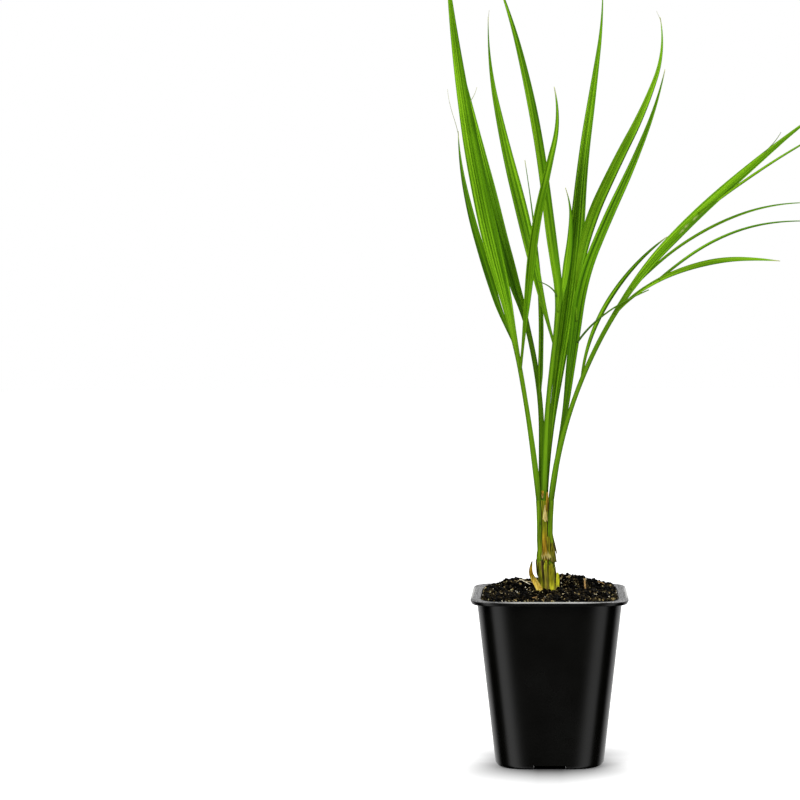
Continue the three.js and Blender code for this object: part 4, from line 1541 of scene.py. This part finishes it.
def hair_part(hair, number):
    """A thread: a tapering round tube whose rib starts on its leaf's margin and grows by the leaves' rule."""
    frond = FRONDS[hair.frond]
    leaf, foot = frond.leaf, np.array([*frond.foot, FROND_FOOT_HEIGHT])
    for order in hair.route:
        foot = point_on(rib(foot, leaf, HAIR_LEAF_STATIONS)[1], leaf.leaflets[order].start)
        leaf = leaf.leaflets[order]
    share, points, direction = rib(foot, leaf, HAIR_LEAF_STATIONS)
    station = int(hair.share * HAIR_LEAF_STATIONS)
    blade = blade_share(share, leaf)[station]
    side, face = rib_frame(direction[[station]], leaf.twist * blade)
    reach = hair.across * blade * leaf.width / 2.0
    start = points[station] + reach * side[0] + leaf.fold * abs(reach) * face[0]
    thread = Leaf(length=hair.length, width=hair.width, widest=0.0, twist=0.0, lean=hair.lean, back=hair.back)
    share, path, _ = rib(start, thread, HAIR_STATIONS)
    values = {
        "across": 0.0, "breadth": 0.0, "down": share[:, None] * hair.length / STREAK_LENGTH, "tone": 0.1,
        "number": float(number), "stalk": 0.0, "dry": hair.dry * mix(0.5, 1.0, share[:, None]), "margin": 0.0,
    }
    return round_tube(path, hair.width / 2.0 * mix(1.0, 0.5, share), HAIR_SIDES, values)


def make_fronds(material):
    """The fronds, each one piece with its leaflets and its foot sunk in the stem, and the dry threads."""
    for number, (name, frond) in enumerate(FRONDS.items()):
        foot = np.array([*frond.foot, FROND_FOOT_HEIGHT])
        parts = leaf_parts(foot, frond.leaf, frond.foot_half_width, number + 1, FOOT_SINK)
        piece = make_piece(name + "_blades", joined(parts), material)
        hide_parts(*FROND_NODES.get(name, (name,)))
    threads = joined([hair_part(hair, number + HAIR_NUMBER) for number, hair in enumerate(HAIRS)])
    make_piece("leaf_threads", threads, material)


# Stage

def make_floor():
    """A wide pale floor, with its edge far outside the view.

    Light that bounces doesn't see it, so the pot stays as black as one shot on a dark table.
    """
    turn = np.linspace(0.0, 2.0 * np.pi, FLOOR_SIDES, endpoint=False)
    rim = [FLOOR_RADIUS * np.cos(turn), FLOOR_RADIUS * np.sin(turn)]
    rings = [np.column_stack([*rim, np.full(FLOOR_SIDES, height)]) for height in (-FLOOR_DEPTH, 0.0)]
    floor = new_object("floor", new_mesh("floor", closed_tube(np.stack(rings)), False))
    floor.visible_glossy = False
    floor.visible_diffuse = False
    floor.data.materials.append(floor_material())


def floor_material():
    """Pale and softly glowing, with the pot's soft shadow painted into its colour and glow, and painted black
    under the pot's foot as painted shade.

    The distance from the pot's foot is that from its rounded square: the length, by the outline's own
    power, of how far a point lies past the corner's middle, less the radius. The shadow fades as the square
    of what is left of its reach. It is deep and long in front of the pot, lighter beside it and gone a
    little way behind.
    """
    shader = material_shader("pale_floor")
    x, y, _ = shader.axes(shader.place())
    straight = BODY_WIDTH_AT_FOOT / 2.0 - CORNER_RADIUS_AT_FOOT
    past = [shader.math("SUBTRACT", size, straight) for size in shader.sizes(x, y)]
    past = [shader.math("MAXIMUM", part, 0.0) for part in past]
    distance = shader.math("SUBTRACT", shader.power_length(*past, CORNER_POWER), CORNER_RADIUS_AT_FOOT)
    both = shader.math("MAXIMUM", shader.math("ADD", *past), 0.0001)
    ahead = shader.math("DIVIDE", past[1], both)
    reach = shader.span(ahead, 0.0, 1.0, SHADOW_REACH_SIDE, SHADOW_REACH_FRONT)
    left = shader.span(shader.math("DIVIDE", distance, reach), 0.0, 1.0, 1.0, 0.0)
    depth = shader.span(ahead, 0.0, 1.0, SHADOW_DEPTH_SIDE, SHADOW_DEPTH_FRONT)
    depth = shader.math("MULTIPLY", depth, shader.span(y, *SHADOW_GONE_BEHIND, 1.0, 0.0))
    # Painted shadow: the floor's colour and glow dim together round the pot's foot
    shadow = shader.math("MULTIPLY", depth, shader.math("MULTIPLY", left, left))
    lit = shader.math("SUBTRACT", 1.0, shadow)
    # Painted shade: the floor turns black under the pot's foot
    lit = shader.math("MULTIPLY", lit, shader.span(distance, *PAINTED_SHADE_UNDER_POT))
    return shader.finish(
        Base_Color=shader.colours(lit, (0.0, 0.0, 0.0), FLOOR_COLOUR), Roughness=0.9, Specular_IOR_Level=0.0,
        Emission_Color=(1.0, 1.0, 1.0, 1.0), Emission_Strength=shader.math("MULTIPLY", lit, FLOOR_GLOW),
    )


def make_softboxes():
    """The square soft lights, each turned to face its point on the pot's middle line."""
    for name, box in SOFTBOXES.items():
        light = bpy.data.lights.new(name, "AREA")
        light.size = box.width
        light.energy = box.power
        lamp = new_object(name, light)
        aim = unit(np.array([0.0, 0.0, box.aim_height]) - np.array(box.place))
        lamp.location = box.place
        lamp.rotation_euler = (math.acos(-aim[2]), 0.0, math.atan2(-aim[0], aim[1]))


def make_world():
    """The studio by direction: pale above and behind, dark in front, with an upright panel at either side.

    A direction's turn away from the front is its level part along X over the sum of both level parts: each
    panel fills a band of that share in the front half. The camera sees plain white past the floor.
    """
    world = bpy.data.worlds.new("studio")
    bpy.context.scene.world = world
    shader = Shader(world, "Background")
    x, y, z = shader.axes(shader.add("ShaderNodeTexCoord").outputs["Generated"])

    def fade(value, ends, first=0.0, last=1.0):
        return shader.span(value, *ends, first, last, "SMOOTHSTEP")

    level = shader.sizes(x, y)
    turned = shader.math("DIVIDE", level[0], shader.math("MAXIMUM", shader.math("ADD", *level), 0.001))
    panel = shader.math(
        "MULTIPLY", fade(turned, PANEL_INNER_EDGE), fade(turned, PANEL_OUTER_EDGE, 1.0, 0.0),
        fade(z, PANEL_TOP, 1.0, 0.0), fade(y, PANEL_BACK, 1.0, 0.0),
        fade(x, LEFT_TO_RIGHT, PANEL_GLOW, PANEL_GLOW * PANEL_RIGHT_SHARE),
    )
    behind = shader.math("MULTIPLY", fade(y, SKY_BEHIND, 0.0, SKY_GLOW), fade(z, SKY_OVER_FLOOR))
    above = fade(z, SKY_ABOVE, 0.0, SKY_GLOW)
    camera_ray = shader.add("ShaderNodeLightPath").outputs["Is Camera Ray"]
    glow = shader.math("MAXIMUM", behind, above, panel, camera_ray)
    shader.finish(Strength=glow, Color=(1.0, 1.0, 1.0, 1.0))


def make_camera():
    """The photo's camera: level with the leaves, looking a little down, the plant right of the middle."""
    camera = bpy.data.cameras.new("camera")
    camera.lens = CAMERA_LENS_MM
    camera.sensor_width = CAMERA_SENSOR_MM
    camera.shift_x = CAMERA_SHIFT
    holder = new_object("camera", camera)
    holder.location = CAMERA_PLACE
    holder.rotation_euler = (math.radians(90.0 - CAMERA_LOOKS_DOWN), 0.0, 0.0)
    bpy.context.scene.camera = holder


# Settings

class PalmPotSettings(bpy.types.PropertyGroup):
    """What a user would change on the pot and its soil."""

    colour: bpy.props.FloatVectorProperty(
        name="Pot colour", description="Colour of the pot's plastic", subtype="COLOR",
        default=(0.0014, 0.0014, 0.0010),
    )
    relief: bpy.props.FloatProperty(
        name="Soil relief", description="Height of the soil's small lumps", unit="LENGTH", default=0.0006,
    )
    density: bpy.props.FloatProperty(
        name="Crumb density", description="Number of crumbs, as a share of the usual number",
        subtype="FACTOR", default=1.0,
    )


class PalmLeafSettings(bpy.types.PropertyGroup):
    """The colours of the leaves."""

    dark: bpy.props.FloatVectorProperty(
        name="Deep green", description="Colour of the leaves' dark streaks", subtype="COLOR",
        default=(0.023, 0.080, 0.0004),
    )
    middle: bpy.props.FloatVectorProperty(
        name="Middle green", description="Colour of most of the leaf", subtype="COLOR",
        default=(0.079, 0.213, 0.0015),
    )
    light: bpy.props.FloatVectorProperty(
        name="Bright green", description="Colour of the leaves' pale streaks", subtype="COLOR",
        default=(0.21, 0.44, 0.010),
    )
    base: bpy.props.FloatVectorProperty(
        name="Petiole green", description="Colour of the petioles", subtype="COLOR",
        default=(0.044, 0.098, 0.0014),
    )
    tip: bpy.props.FloatVectorProperty(
        name="Dry tip", description="Colour of the leaves' dry tips", subtype="COLOR",
        default=(0.38, 0.39, 0.16),
    )


# Operators

class PALM_OT_pot(bpy.types.Operator):
    """Build the nursery pot"""

    bl_idname = "palm.pot"
    bl_label = "Nursery Pot"

    def execute(self, context):
        make_pot(tuple(context.scene.palm_pot.colour))
        return {"FINISHED"}


class PALM_OT_soil(bpy.types.Operator):
    """Build the soil, its loose crumbs and the dry scraps on it"""

    bl_idname = "palm.soil"
    bl_label = "Potting Mix"

    def execute(self, context):
        make_soil_bed(context.scene.palm_pot.relief)
        make_crumbs(context.scene.palm_pot.density)
        make_litter()
        return {"FINISHED"}


class PALM_OT_stem(bpy.types.Operator):
    """Build the stem of leaf bases, the dead scraps on it and the two scales beside it"""

    bl_idname = "palm.stem"
    bl_label = "Sheathed Stem"

    def execute(self, context):
        skin = sheath_skin()
        make_stem(skin)
        make_flaps(skin)
        make_scales(skin)
        return {"FINISHED"}


class PALM_OT_fronds(bpy.types.Operator):
    """Build the fronds and the dry threads on them"""

    bl_idname = "palm.fronds"
    bl_label = "Fronds"

    def execute(self, context):
        leaf = context.scene.palm_leaf
        colours = (leaf.dark, leaf.middle, leaf.light, leaf.base, leaf.tip)
        make_fronds(leaf_green(*map(tuple, colours)))
        return {"FINISHED"}


class PALM_OT_stage(bpy.types.Operator):
    """Set up the floor, the lights, the surroundings and the camera"""

    bl_idname = "palm.stage"
    bl_label = "Studio"

    def execute(self, context):
        make_floor()
        make_world()
        make_camera()
        make_softboxes()
        context.scene.view_settings.view_transform = "Standard"
        return {"FINISHED"}


class PALM_PT_builder(bpy.types.Panel):
    """Lists the palm's settings and the steps that build it"""

    bl_label = "Potted Palm"
    bl_space_type = "VIEW_3D"
    bl_region_type = "UI"
    bl_category = "Palm"

    def draw(self, context):
        layout = self.layout
        for settings in (context.scene.palm_pot, context.scene.palm_leaf):
            for name in settings.__annotations__:
                layout.prop(settings, name)
        for step in STEPS:
            layout.operator(step.bl_idname)


STEPS = (PALM_OT_pot, PALM_OT_soil, PALM_OT_stem, PALM_OT_fronds, PALM_OT_stage)
CLASSES = (PalmPotSettings, PalmLeafSettings, *STEPS, PALM_PT_builder)


def register():
    for cls in CLASSES:
        bpy.utils.register_class(cls)
    bpy.types.Scene.palm_pot = bpy.props.PointerProperty(type=PalmPotSettings)
    bpy.types.Scene.palm_leaf = bpy.props.PointerProperty(type=PalmLeafSettings)


def unregister():
    del bpy.types.Scene.palm_leaf
    del bpy.types.Scene.palm_pot
    for cls in reversed(CLASSES):
        bpy.utils.unregister_class(cls)


def main():
    """Builds everything in order."""
    register()
    for step in STEPS:
        getattr(bpy.ops.palm, step.bl_idname.split(".")[1])()


if __name__ == "__main__":
    main()
